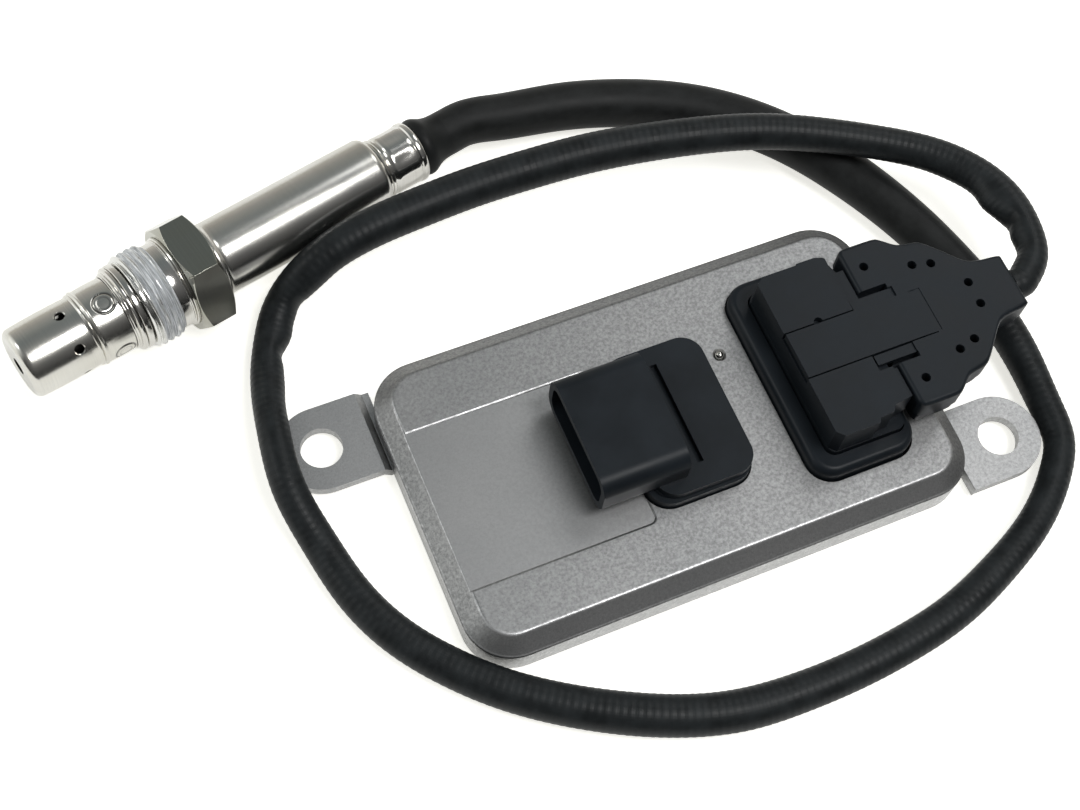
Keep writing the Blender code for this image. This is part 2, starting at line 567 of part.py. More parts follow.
hose_route = [probe_point(BOOT_END + 2.5), probe_point(BOOT_END + 5), (-3.95, 80.6, 7.5), (9.55, 79.4, 6.2),
              (22.6, 76.4, 5.5), (34.8, 71.3, 5.3), (45.7, 63.9, 5.3), (54.7, 54.6, 5.3),
              (61.9, 43.7, 5.3), (68.0, 31.2, 5.3), (72.6, 18.5, 5.2), (76.0, 6.0, 5.1)]
sleeve_route = [(76.15, 5.5, 5.0), (78.0, -9.6, 4.3), (77.2, -22.4, 3.8), (75.6, -29.2, 3.8), (71.6, -34.6, 3.8),
                (61.2, -43.5, 3.8), (49.5, -49.4, 3.8), (37.3, -53.8, 3.8), (24.8, -56.1, 3.8),
                (12.8, -57.1, 3.8), (1.1, -57.1, 3.8), (-10.3, -56.0, 3.8), (-21.3, -52.8, 3.8),
                (-31.5, -48.1, 3.8), (-41.1, -42.4, 3.8), (-49.9, -35.8, 3.8), (-57.9, -27.8, 3.8),
                (-64.6, -18.7, 3.8), (-69.3, -7.9, 3.8), (-71.9, 3.9, 4.4), (-73.7, 14.8, 7.4),
                (-72.6, 27.2, 7.9), (-69.3, 41.5, 4.6), (-66.3, 48.0, 4.0), (-62.7, 53.4, 4.8),
                (-53.6, 58.1, 10.0), (-42.5, 60.3, 13.0), (-29.6, 61.7, 13.4), (-16.9, 62.4, 13.6),
                (-4.4, 62.2, 13.9), (8.4, 61.4, 14.2), (21.3, 59.5, 14.4), (33.8, 56.8, 14.6),
                (46.2, 53.0, 14.8), (58.0, 47.6, 14.8), (69.2, 41.4, 14.6), (79.2, 33.5, 14.9),
                (85.4, 21.8, 16.0), (85.6, 12.0, 16.9), (83.0, 4.4, 17.4), (78.2, 0.3, 17.5)]
neck_entry = (NECK_END + GAP, 0.2, 17.5)
cord("cable_hose", hose_route, 20, HOSE_DIAMETER, RUBBER, first=probe_point(BOOT_END + GAP))
cord("cable_sleeve", sleeve_route, 66, SLEEVE_DIAMETER, RUBBER, last=neck_entry)

# Control unit housing: die-cast cover with bevelled rim, label recess and two windows


def housing_outline(inset, radius):
    return rounded(HOUSING_X0 + inset, HOUSING_X1 - inset, -HOUSING_HALF_Y + inset, HOUSING_HALF_Y - inset, radius, 8)


cover = stack("housing_cover", [
    (housing_outline(0, HOUSING_CORNER), WALL_BOTTOM), (housing_outline(0, HOUSING_CORNER), RIM_Z - 0.35),
    (housing_outline(0.12, HOUSING_CORNER - 0.12), RIM_Z - 0.1),
    (housing_outline(0.4, HOUSING_CORNER - 0.4), RIM_Z),
    (housing_outline(PLATEAU_INSET - 0.35, PLATEAU_CORNER + 0.25), PLATEAU_Z - 0.22),
    (housing_outline(PLATEAU_INSET, PLATEAU_CORNER), PLATEAU_Z)], ALUMINIUM, True)
cavity = stack("housing_cavity_cutter", [
    (housing_outline(WALL, HOUSING_CORNER - WALL), -1.0), (housing_outline(WALL, HOUSING_CORNER - WALL), RIM_Z - 1.3),
    (housing_outline(PLATEAU_INSET + 1.7, PLATEAU_CORNER - 1.7), ROOF_Z)], None)
boolean(cover, cavity)
label = stack("label_recess_cutter", [
    (rounded(HOUSING_X0 - 7, LABEL_X1, LABEL_Y0, LABEL_Y1, 1.2, 4), PLATEAU_Z - LABEL_DEPTH),
    (rounded(HOUSING_X0 - 7, LABEL_X1 + 0.25, LABEL_Y0 - 0.25, LABEL_Y1 + 0.25, 1.45, 4), PLATEAU_Z + 1.0)], None)
boolean(cover, label)
boolean(cover, prism("header_window_cutter", rounded(
    HEADER_X0 - GAP, HEADER_X1 + GAP, HEADER_Y0 - GAP, HEADER_Y1 + GAP, HEADER_CORNER + GAP),
    FLANGE_Z0 - 1.9, PLATEAU_Z + 2.0, None))
boolean(cover, prism("collar_window_cutter", rounded(
    COLLAR_X0 - GAP, COLLAR_X1 + 0.5, -COLLAR_HALF_Y - 0.5, COLLAR_HALF_Y + GAP, COLLAR_CORNER + 0.4),
    FLANGE_Z0 - 1.9, PLATEAU_Z + 2.0, None))
VENT = (HEADER_X1 + 4.3, HEADER_Y1 - 5.1)
boolean(cover, rod("vent_seat_cutter", (*VENT, PLATEAU_Z - 3.0), (0, 0, 1), 1.3, 4.0, None, 24))


def ear_outline(centre, outward, grow, root, wall_x):
    """Straight-sided ear with a half circle round its bolt hole and a root that clears the housing's corner."""
    cx, cy = centre
    r = EAR_HALF + grow
    corner = math.copysign(1.0, cy)
    step_x = wall_x - outward * (EAR_ROOT_STEP + grow)
    step_y = corner * (HOUSING_HALF_Y - HOUSING_CORNER - 0.15 + grow)
    points = [(cx + outward * r * math.cos(math.radians(a)), cy + corner * r * math.sin(math.radians(a)))
              for a in range(-90, 91, 10)]
    points += [(step_x, cy + corner * r), (step_x, step_y), (root, step_y), (root, cy - corner * r)]
    return points


for name, centre, outward, wall_x in (("ear_slot_left_cutter", EAR_LEFT, -1, HOUSING_X0),
                                      ("ear_slot_right_cutter", EAR_RIGHT, 1, HOUSING_X1)):
    boolean(cover, prism(name, ear_outline(centre, outward, GAP, wall_x - outward * 6.0, wall_x), -1.0,
                         PLATE_THICK + GAP, None))

plate = prism("base_plate", housing_outline(WALL + GAP, HOUSING_CORNER - WALL - GAP), 0.0, PLATE_THICK, ALUMINIUM)
for name, centre, outward, wall_x in (("ear_left", EAR_LEFT, -1, HOUSING_X0),
                                      ("ear_right", EAR_RIGHT, 1, HOUSING_X1)):
    cx, cy = centre
    r = EAR_HALF
    inner = wall_x - outward * 3.6
    bend0 = wall_x + outward * 0.4
    bend1 = wall_x + outward * 1.9
    lower = [(inner, 0.0), (bend0, 0.0), (bend1, EAR_RISE), (cx + outward * (r + 1), EAR_RISE)]
    upper = [(cx + outward * (r + 1), EAR_RISE + PLATE_THICK), (bend1 - outward * 0.2, EAR_RISE + PLATE_THICK),
             (bend0 - outward * 0.2, PLATE_THICK), (inner, PLATE_THICK)]
    strip = lower + upper
    bm = bmesh.new()
    near = [bm.verts.new((x, cy - r, z)) for x, z in strip]
    far = [bm.verts.new((x, cy + r, z)) for x, z in strip]
    bm.faces.new(near)
    bm.faces.new(far)
    for i in range(len(strip)):
        j = (i + 1) % len(strip)
        bm.faces.new((near[i], near[j], far[j], far[i]))
    ear = finish(name + "_blank", bm, None)
    boolean(ear, prism(name + "_shape_cutter", ear_outline(centre, outward, 0.0, inner - outward * 2.0, wall_x),
                       -1.0, 6.0, None), "INTERSECT")
    boolean(plate, ear, "UNION")
    boolean(plate, rod(name + "_hole_cutter", (cx, cy, -1.0), (0, 0, 1), EAR_HOLE, 8.0, None, 40))

seal_z = PLATE_THICK + GAP
SEAL_WIDE = 1.4
seal_inset = WALL + 2 * GAP
ring_prism("housing_seal", housing_outline(seal_inset, HOUSING_CORNER - seal_inset),
           housing_outline(seal_inset + SEAL_WIDE, HOUSING_CORNER - seal_inset - SEAL_WIDE), seal_z, seal_z + 0.9,
           SILICONE)
BOARD_THICK = 1.4
board_inset = seal_inset + SEAL_WIDE + GAP
PCB_Z = FLANGE_Z0 - GAP - BOARD_THICK
board = prism("circuit_board", housing_outline(board_inset, HOUSING_CORNER - board_inset), PCB_Z, PCB_Z + BOARD_THICK,
              BOARD)

bm = bmesh.new()
bmesh.ops.create_uvsphere(bm, u_segments=14, v_segments=9, radius=1.0,
                          matrix=Matrix.Translation((*VENT, PLATEAU_Z - 0.25)))
finish("vent_ball", bm, STEEL, True)

# Vehicle connector header: flange under the roof, base in the window, top plate and a shroud towards -X


def side_prism(name, x0, x1, outline, look):
    """Bar along X through an outline in Y and Z."""
    bm = bmesh.new()
    near = [bm.verts.new((x0, y, z)) for y, z in outline]
    far = [bm.verts.new((x1, y, z)) for y, z in outline]
    bm.faces.new(near)
    bm.faces.new(list(reversed(far)))
    for i in range(len(outline)):
        j = (i + 1) % len(outline)
        bm.faces.new((near[i], near[j], far[j], far[i]))
    return finish(name, bm, look)


def across_prism(bm, outline, y0, y1):
    """Adds a bar along Y through an outline in X and Z to the bmesh."""
    near = [bm.verts.new((x, y0, z)) for x, z in outline]
    far = [bm.verts.new((x, y1, z)) for x, z in outline]
    bm.faces.new(near)
    bm.faces.new(list(reversed(far)))
    for i in range(len(outline)):
        j = (i + 1) % len(outline)
        bm.faces.new((near[i], near[j], far[j], far[i]))


header = prism("vehicle_header", rounded(HEADER_X0, HEADER_X1, HEADER_Y0, HEADER_Y1, HEADER_CORNER),
               FLANGE_Z0 + 0.5, HEADER_PLATE_Z - 2.3, PLASTIC)
boolean(header, stack("header_plate_blank", [
    (rounded(HEADER_X0 + 1.2, HEADER_X1 - 0.3, HEADER_Y0 + 0.9, HEADER_Y1 - 0.6, 4.2), HEADER_PLATE_Z - 2.7),
    (rounded(HEADER_X0 + 1.2, HEADER_X1 - 0.3, HEADER_Y0 + 0.9, HEADER_Y1 - 0.6, 4.2), HEADER_PLATE_Z - 1.9),
    (rounded(HEADER_X0 + 1.5, HEADER_X1 - 0.05, HEADER_Y0 + 0.6, HEADER_Y1 - 0.3, 4.5), HEADER_PLATE_Z - 1.8),
    (rounded(HEADER_X0 + 1.5, HEADER_X1 - 0.05, HEADER_Y0 + 0.6, HEADER_Y1 - 0.3, 4.5), HEADER_PLATE_Z - 0.3),
    (rounded(HEADER_X0 + 1.8, HEADER_X1 - 0.35, HEADER_Y0 + 0.9, HEADER_Y1 - 0.6, 4.2), HEADER_PLATE_Z)],
    None), "UNION")
boolean(header, prism("header_flange_blank", rounded(
    HEADER_X0 - FLANGE_WIDE, HEADER_X1 + FLANGE_WIDE, HEADER_Y0 - FLANGE_WIDE, HEADER_Y1 + FLANGE_WIDE, 6.5),
    FLANGE_Z0, FLANGE_Z1, None), "UNION")
boolean(header, side_prism("shroud_blank", SHROUD_MOUTH_X, SHROUD_BACK_X, rounded(
    -SHROUD_HALF_Y, SHROUD_HALF_Y, SHROUD_Z0, SHROUD_Z1, SHROUD_CORNER), None), "UNION")
socket_back = SHROUD_MOUTH_X + SOCKET_DEPTH
boolean(header, side_prism("shroud_socket_cutter", SHROUD_MOUTH_X - 1, socket_back, rounded(
    -SHROUD_HALF_Y + SHROUD_WALL, SHROUD_HALF_Y - SHROUD_WALL, SHROUD_Z0 + SHROUD_WALL, SHROUD_Z1 - SHROUD_WALL,
    SHROUD_CORNER - SHROUD_WALL + 0.3), None))
boolean(header, box("header_groove_cutter", SHROUD_BACK_X + 0.6, SHROUD_BACK_X + 2.2, 1.3 - SHROUD_HALF_Y,
                    SHROUD_HALF_Y - 1.0, HEADER_PLATE_Z - 1.2, HEADER_PLATE_Z + 1.7, None))
pin_z = (SHROUD_Z0 + SHROUD_Z1) / 2
PIN_PITCH = 2 * (SHROUD_HALF_Y - SHROUD_WALL) / (VEHICLE_PINS + 1)
pin_tip = SHROUD_MOUTH_X + 7.0
PIN_FOOT_Z = PLATE_THICK + 2 * GAP
pin_half = 0.32
way_half = pin_half + GAP
pin_ys = [(k - (VEHICLE_PINS - 1) / 2) * PIN_PITCH for k in range(VEHICLE_PINS)]
drop_x0 = socket_back + 0.65
drop_x1 = drop_x0 + 2 * pin_half
bm = bmesh.new()
for y in pin_ys:
    across_prism(bm, [(socket_back - 0.3, pin_z - way_half), (drop_x0 - GAP, pin_z - way_half),
                      (drop_x0 - GAP, FLANGE_Z0 - 1.9), (drop_x1 + GAP, FLANGE_Z0 - 1.9),
                      (drop_x1 + GAP, pin_z + way_half), (socket_back - 0.3, pin_z + way_half)],
                 y - way_half, y + way_half)
boolean(header, finish("header_pin_way_cutter", bm, None))
soften(header, 0.25, 1, 60)
for k, y in enumerate(pin_ys):
    bm = bmesh.new()
    across_prism(bm, [(pin_tip, pin_z - 0.1), (pin_tip + 0.4, pin_z - pin_half), (drop_x0, pin_z - pin_half),
                      (drop_x0, PIN_FOOT_Z), (drop_x1, PIN_FOOT_Z), (drop_x1, pin_z + pin_half),
                      (pin_tip + 0.4, pin_z + pin_half), (pin_tip, pin_z + 0.1)],
                 y - pin_half, y + pin_half)
    finish("vehicle_pin_%d" % (k + 1), bm, BRASS)
ring_prism("vehicle_header_seal",
           rounded(HEADER_X0 - 1.6, HEADER_X1 + 1.6, HEADER_Y0 - 1.6, HEADER_Y1 + 1.6, 6.3),
           rounded(HEADER_X0 - 0.4, HEADER_X1 + 0.4, HEADER_Y0 - 0.4, HEADER_Y1 + 0.4, 5.3),
           FLANGE_Z1 + 0.15, ROOF_Z - 0.15, SILICONE)

# Sensor header: collar with a rounded rim round a pocket, eight upright pins through its floor
collar = stack("sensor_header", [
    (rounded(COLLAR_X0, COLLAR_X1, -COLLAR_HALF_Y, COLLAR_HALF_Y, COLLAR_CORNER, 8), FLANGE_Z0 + 0.5),
    (rounded(COLLAR_X0, COLLAR_X1, -COLLAR_HALF_Y, COLLAR_HALF_Y, COLLAR_CORNER, 8), COLLAR_Z - 1.5),
    (rounded(COLLAR_X0 + 0.2, COLLAR_X1 - 0.2, -COLLAR_HALF_Y + 0.2, COLLAR_HALF_Y - 0.2, COLLAR_CORNER - 0.2, 8),
     COLLAR_Z - 0.8),
    (rounded(COLLAR_X0 + 0.7, COLLAR_X1 - 0.5, -COLLAR_HALF_Y + 0.7, COLLAR_HALF_Y - 0.7, COLLAR_CORNER - 0.6, 8),
     COLLAR_Z - 0.25),
    (rounded(COLLAR_X0 + 1.4, COLLAR_X1 - 0.8, -COLLAR_HALF_Y + 1.4, COLLAR_HALF_Y - 1.4, COLLAR_CORNER - 1.1, 8),
     COLLAR_Z)], PLASTIC, True)
boolean(collar, prism("collar_flange_blank", rounded(
    COLLAR_X0 - FLANGE_WIDE, COLLAR_X1 + FLANGE_WIDE + 0.2, -COLLAR_HALF_Y - FLANGE_WIDE,
    COLLAR_HALF_Y + FLANGE_WIDE, 6.5), FLANGE_Z0, FLANGE_Z1, None), "UNION")
pocket_z = COLLAR_Z - 4.7
boolean(collar, prism("collar_pocket_cutter", rounded(
    PLUG_X0 - GAP, PLUG_X1 + GAP, -PLUG_HALF_Y - GAP, PLUG_HALF_Y + GAP, 2.2), pocket_z, PLUG_TOP, None))
pin_row = PLUG_HALF_Y - 6.1
sensor_pins = [(PLUG_X0 + 5.0 + (PLUG_LONG - 9.9) * (k % 2), pin_row * (2 * (k // 2) / (SENSOR_PINS // 2 - 1) - 1))
               for k in range(SENSOR_PINS)]
PIN_RADIUS = 0.5
PIN_TOP = PLUG_TOP - 7.1


def pin_ways(name, z0, z1, points, radius=PIN_RADIUS + GAP):
    bm = bmesh.new()
    for x, y in points:
        bmesh.ops.create_cone(bm, cap_ends=True, segments=8, radius1=radius, radius2=radius,
                              depth=z1 - z0, matrix=Matrix.Translation((x, y, (z0 + z1) / 2)))
    return finish(name, bm, None)


boolean(collar, pin_ways("collar_pin_way_cutter", FLANGE_Z0 - 0.9, pocket_z + 1.5, sensor_pins))
boolean(board, pin_ways("board_pin_way_cutter", PCB_Z - 1, PCB_Z + 2.4,
                        sensor_pins + [((drop_x0 + drop_x1) / 2, y) for y in pin_ys]))
for k, (x, y) in enumerate(sensor_pins):
    rod("sensor_pin_%d" % (k + 1), (x, y, PIN_FOOT_Z), (0, 0, 1), PIN_RADIUS, PIN_TOP - PIN_FOOT_Z, BRASS, 8)
ring_prism("sensor_header_seal",
           rounded(COLLAR_X0 - 1.6, COLLAR_X1 + 1.8, -COLLAR_HALF_Y - 1.6, COLLAR_HALF_Y + 1.6, 6.3),
           rounded(COLLAR_X0 - 0.4, COLLAR_X1 + 0.6, -COLLAR_HALF_Y - 0.6, COLLAR_HALF_Y + 0.4, 5.4),
           FLANGE_Z1 + 0.15, ROOF_Z - 0.15, SILICONE)

chip_z = PCB_Z + BOARD_THICK + GAP
chip_x = HOUSING_X0 + 15.0
box("microcontroller", chip_x, chip_x + 12.0, -8.0, 4.0, chip_z, chip_z + 1.4, CHIP)
box("driver_chip", chip_x, chip_x + 8.0, HOUSING_HALF_Y - 22.35, HOUSING_HALF_Y - 15.35, chip_z, chip_z + 1.2, CHIP)
rod("buffer_capacitor", (chip_x + 8.0, 13.35 - HOUSING_HALF_Y, chip_z), (0, 0, 1), 4.0, 1.9, STEEL, 24)

# Plug: body in the collar's pocket, channel for the cover's tongue on top
SKIRT_Z = COLLAR_Z - 1.4
plug = prism("plug_body", rounded(PLUG_X0, PLUG_X1, -PLUG_HALF_Y, PLUG_HALF_Y, 1.9), SKIRT_Z, COLLAR_Z + 1.0, PLASTIC)
boolean(plug, prism("plug_skirt_blank", rounded(
    PLUG_X0 + 1.6, PLUG_X1 - 1.6, -PLUG_HALF_Y + 1.6, PLUG_HALF_Y - 1.6, 1.2), pocket_z + GAP, SKIRT_Z + 0.6, None),
    "UNION")
plug_side = PLUG_HALF_Y - 0.1
upper_outline = [(PLUG_X0 + 0.05, 1.4 - plug_side), (PLUG_X0 + 1.4, -plug_side), (PLUG_X0 + 9.0, -plug_side),
                 (PLUG_X0 + 9.6, 0.9 - plug_side), (PLUG_X1 - 4.3, 1.2 - plug_side), (PLUG_X1 - 3.5, 2.4 - plug_side),
                 (PLUG_X1 - 0.1, 2.8 - plug_side), (PLUG_X1 - 0.1, plug_side - 4.0), (PLUG_X1 - 0.7, plug_side - 2.0),
                 (PLUG_X1 - 2.0, plug_side - 0.6), (PLUG_X1 - 3.7, plug_side), (PLUG_X0 + 9.4, plug_side),
                 (PLUG_X0 + 9.1, plug_side - 0.3), (PLUG_X0 + 1.7, plug_side - 0.3),
                 (PLUG_X0 + 0.05, plug_side - 1.6)]
plug_upper = prism("plug_upper_blank", upper_outline, COLLAR_Z + 0.4, PLUG_TOP, None)
soften(plug_upper, 0.3, 1, 60)
boolean(plug, plug_upper, "UNION")
tongue_z = PLUG_TOP - TONGUE_THICK
latch_z = PLUG_TOP - 1.5
tongue_x0 = PLUG_X0 + 1.0
boolean(plug, box("plug_channel_cutter", tongue_x0 - GAP, PLUG_X1 + 2, -TONGUE_HALF_Y - GAP, TONGUE_HALF_Y + GAP,
                  tongue_z - GAP, PLUG_TOP + 1, None))
boolean(plug, box("plug_ledge_upper_cutter", PLUG_X1 - 1.7, PLUG_X1 + 2, TONGUE_HALF_Y, PLUG_HALF_Y + 1,
                  latch_z - 0.4, PLUG_TOP + 1, None))
boolean(plug, box("plug_ledge_lower_cutter", PLUG_X1 - 3.0, PLUG_X1 + 2, -TONGUE_HALF_Y - LATCH_WIDE - 1.5,
                  -TONGUE_HALF_Y, latch_z - 0.4, PLUG_TOP + 1, None))
boolean(plug, rod("plug_notch_cutter", (PLUG_X0 + 7.7, TONGUE_HALF_Y + GAP, tongue_z + 0.1), (0, 0, 1), 0.95, 3.0,
                  None, 16))
boolean(plug, pin_ways("plug_pin_way_cutter", pocket_z - 0.5, PIN_TOP + 0.8, sensor_pins))
ring_prism("plug_seal", rounded(PLUG_X0 + 0.1, PLUG_X1 - 0.1, -PLUG_HALF_Y + 0.1, PLUG_HALF_Y - 0.1, 1.9),
           rounded(PLUG_X0 + 1.3, PLUG_X1 - 1.3, -PLUG_HALF_Y + 1.3, PLUG_HALF_Y - 1.3, 1.3),
           SKIRT_Z - 2.2, SKIRT_Z - 0.4, SILICONE)

# Back cover in two halves, the upper one with the tongue, two latch arms and eight core holes
# Each shoulder point: how far along the cover, and its share of the way from the neck's width to the plug's
SHOULDER = ((0.0, 1.0), (0.276, 1.0), (0.311, 0.944), (0.384, 0.774), (0.435, 0.734), (0.524, 0.702), (0.565, 0.637),
            (0.644, 0.419), (0.743, 0.137), (0.787, 0.065), (0.854, 0.024), (0.975, 0.0))


def cover_half(share_along):
    """Half width of the cover at a share of its length."""
    for (a, wide_a), (b, wide_b) in zip(SHOULDER, SHOULDER[1:]):
        if a <= share_along <= b:
            wide = wide_a + (wide_b - wide_a) * (share_along - a) / (b - a)
            return NECK_HALF_Y + wide * (plug_side - NECK_HALF_Y)
    return NECK_HALF_Y


half = [(COVER_X0 + along * COVER_LONG, cover_half(along)) for along, wide in SHOULDER]
half.append((NECK_END, NECK_HALF_Y - 0.5))


def cover_outline(inset):
    """Outline of the cover, both sides alike, pulled in towards its middle line."""
    side = []
    for i, (x, y) in enumerate(half):
        x2 = x + inset if i == 0 else min(x, NECK_END - inset)
        side.append((x2, y - inset))
    return [(x, -y) for x, y in side] + list(reversed(side))


upper = prism("plug_cover_upper", cover_outline(0.0), COVER_PART_Z + 0.15, PLUG_TOP, PLASTIC)
soften(upper, 0.9, 2, 60)
lower = prism("plug_cover_lower", cover_outline(0.45), COVER_Z0, COVER_PART_Z - 0.15, PLASTIC)
soften(lower, 0.5, 1, 60)
latch_y = TONGUE_HALF_Y + LATCH_WIDE
latch_x1 = COVER_X0 + 3.5
boolean(upper, box("tongue_blank", tongue_x0, latch_x1 + 3, -TONGUE_HALF_Y, TONGUE_HALF_Y, tongue_z, PLUG_TOP, None),
        "UNION")
boolean(upper, box("latch_arm_upper_blank", PLUG_X1 - 1.4, latch_x1, TONGUE_HALF_Y - 0.5, latch_y, latch_z,
                   PLUG_TOP - 0.5, None), "UNION")
boolean(upper, box("latch_arm_lower_blank", PLUG_X1 - 2.5, latch_x1, -latch_y - 0.2, -TONGUE_HALF_Y - GAP, latch_z,
                   PLUG_TOP - 0.4, None), "UNION")
boolean(upper, box("latch_step_upper_cutter", COVER_X0 - 1.5, COVER_X0 + 6.9, TONGUE_HALF_Y, latch_y + 0.1,
                   PLUG_TOP - 0.5, PLUG_TOP + 1, None))
boolean(upper, box("latch_slot_upper_cutter", COVER_X0 - 1.5, COVER_X0 + 6.0, latch_y, latch_y + 1.1, latch_z - 1.5,
                   PLUG_TOP + 1, None))
boolean(upper, box("latch_step_lower_cutter", COVER_X0 - 1.5, COVER_X0 + 4.9, -latch_y - GAP, -TONGUE_HALF_Y - GAP,
                   PLUG_TOP - 0.4, PLUG_TOP + 1, None))
boolean(upper, box("latch_slot_lower_cutter", COVER_X0 - 1.5, COVER_X0 + 5.0, -latch_y - 1.4, -latch_y - 0.2,
                   latch_z - 1.5, PLUG_TOP + 1, None))
boolean(upper, box("tongue_slit_cutter", PLUG_X1 - 3.3, TONGUE_END, -TONGUE_HALF_Y - GAP, -TONGUE_HALF_Y,
                   PLUG_TOP - 1.6, PLUG_TOP + 1, None))
boolean(upper, box("thumb_recess_cutter", COVER_X0 + 9.4, COVER_X0 + 11.9, -TONGUE_HALF_Y, TONGUE_HALF_Y,
                   PLUG_TOP - 0.15, PLUG_TOP + 1, None))
core_holes = [(COVER_X0 + along * COVER_LONG, cover_half(along) * share)
              for along, share in ((0.117, 0.71), (0.416, 0.65), (0.537, 0.61), (0.698, 0.27))]
boolean(upper, pin_ways("core_hole_cutter", PLUG_TOP - 3.0, PLUG_TOP + 1.0,
                        core_holes + [(x, -y) for x, y in core_holes], 0.95))
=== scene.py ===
# %% [markdown]
# # A nitrogen oxide sensor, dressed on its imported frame
# The object is a screw-in exhaust probe, a cable and a flat control unit that lie on a white table.
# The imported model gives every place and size. This script builds each visible piece again with
# finer edges and gives it the finish of the real one. Lengths are written in millimetres.

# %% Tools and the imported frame
import math

import bmesh
import bpy
import numpy as np
from mathutils import Matrix, Vector


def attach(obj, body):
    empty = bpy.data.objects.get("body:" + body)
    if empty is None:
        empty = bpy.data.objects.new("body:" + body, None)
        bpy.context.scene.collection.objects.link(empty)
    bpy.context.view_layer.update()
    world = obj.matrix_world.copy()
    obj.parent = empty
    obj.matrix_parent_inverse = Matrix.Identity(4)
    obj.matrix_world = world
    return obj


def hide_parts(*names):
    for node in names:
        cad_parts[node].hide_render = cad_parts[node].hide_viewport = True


MM = 0.001
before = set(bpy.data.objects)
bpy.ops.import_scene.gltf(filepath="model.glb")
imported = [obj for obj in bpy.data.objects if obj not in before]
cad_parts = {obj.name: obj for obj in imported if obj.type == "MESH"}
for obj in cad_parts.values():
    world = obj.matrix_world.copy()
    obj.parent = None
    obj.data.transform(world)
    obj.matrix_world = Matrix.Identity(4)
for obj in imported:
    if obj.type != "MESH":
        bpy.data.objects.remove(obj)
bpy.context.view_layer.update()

# %% [markdown]
# ## Camera
# The photograph looks down at the table from the front left, a little turned. The camera was fitted to
# the hexagon, the round tubes and the control unit's corners, so its three directions are written out.
# Two of them are enough: the third follows from them.

# %% The camera
IMAGE_WIDE = 1080
FOCAL_PIXELS = 1698.0
SENSOR_WIDE = 36.0
camera_place = Vector((-98.3, -110.8, 310.8)) * MM
look_along = Vector((0.2271, 0.3707, -0.9005)).normalized()
look_right = Vector((0.9185, -0.3888, 0.0716))
look_right = (look_right - look_along * look_right.dot(look_along)).normalized()
look_up = look_right.cross(look_along)
camera_data = bpy.data.cameras.new("camera")
camera_data.sensor_width = SENSOR_WIDE
camera_data.sensor_fit = "HORIZONTAL"
camera_data.lens = FOCAL_PIXELS / IMAGE_WIDE * SENSOR_WIDE
camera_data.clip_start = 0.01
camera = bpy.data.objects.new("camera", camera_data)
camera.matrix_world = Matrix.Translation(camera_place) @ Matrix(
    (look_right, look_up, -look_along)).transposed().to_4x4()
bpy.context.scene.collection.objects.link(camera)
bpy.context.scene.camera = camera
print("camera: lens %.1f mm" % camera_data.lens)

# %% [markdown]
# ## Small helpers
# Every piece is a mesh whose place is in its vertices. These helpers make the few kinds of body that the
# object is built from: layers of outlines, bars along X, and turned shapes on the probe's axis.


# %% Making and keeping pieces
SMOOTH_ANGLE = 35


def shade_smooth(mesh, angle=SMOOTH_ANGLE):
    """Shades the mesh smooth, apart from edges that are sharper than the angle."""
    mesh.polygons.foreach_set("use_smooth", [True] * len(mesh.polygons))
    mesh.set_sharp_from_angle(angle=math.radians(angle))


def keep(name, bm, smooth_angle=SMOOTH_ANGLE):
    """Makes an object from a bmesh in millimetres, with its faces turned outwards."""
    bmesh.ops.scale(bm, vec=(MM, MM, MM), verts=bm.verts)
    bmesh.ops.remove_doubles(bm, verts=bm.verts, dist=1e-7)
    bmesh.ops.recalc_face_normals(bm, faces=bm.faces)
    mesh = bpy.data.meshes.new(name)
    bm.to_mesh(mesh)
    bm.free()
    shade_smooth(mesh, smooth_angle)
    piece = bpy.data.objects.new(name, mesh)
    bpy.context.scene.collection.objects.link(piece)
    return piece


def as_mesh(piece):
    """Turns the piece's modifiers into plain mesh."""
    graph = bpy.context.evaluated_depsgraph_get()
    mesh = bpy.data.meshes.new_from_object(piece.evaluated_get(graph))
    piece.modifiers.clear()
    piece.data = mesh
    return piece


def settle(piece):
    """Turns the piece's modifiers into plain mesh and shades it again."""
    shade_smooth(as_mesh(piece).data)
    return piece


def combine(piece, tool, operation="DIFFERENCE"):
    """Cuts the tool from the piece, or joins it, and clears the tool away."""
    mod = piece.modifiers.new("shape", "BOOLEAN")
    mod.object = tool
    mod.operation = operation
    mod.solver = "EXACT"
    settle(piece)
    bpy.data.objects.remove(tool, do_unlink=True)
    return piece


def bevel(piece, width):
    """A modifier that rounds edges in three steps."""
    mod = piece.modifiers.new("edges", "BEVEL")
    mod.width = width * MM
    mod.segments = 3
    return mod


def ease_edges(piece, width, angle):
    """Rounds every edge that is sharper than the angle."""
    mod = bevel(piece, width)
    mod.limit_method = "ANGLE"
    mod.angle_limit = math.radians(angle)
    mod.harden_normals = False
    mod.miter_outer = "MITER_ARC"
    return settle(piece)


def soften_edges(piece, chosen, width):
    """Rounds only the edges whose both ends are chosen."""
    weights = [1.0 if all(chosen(piece.data.vertices[i].co / MM) for i in edge.vertices) else 0.0
               for edge in piece.data.edges]
    piece.data.attributes.new("bevel_weight_edge", "FLOAT", "EDGE").data.foreach_set("value", weights)
    mod = bevel(piece, width)
    mod.limit_method = "WEIGHT"
    mod.use_clamp_overlap = False
    return settle(piece)


def shade_evenly(piece):
    """Lets the large faces lead the normals, so that a flat face stays flat beside a rounded edge."""
    mod = piece.modifiers.new("normals", "WEIGHTED_NORMAL")
    mod.keep_sharp = True
    return as_mesh(piece)


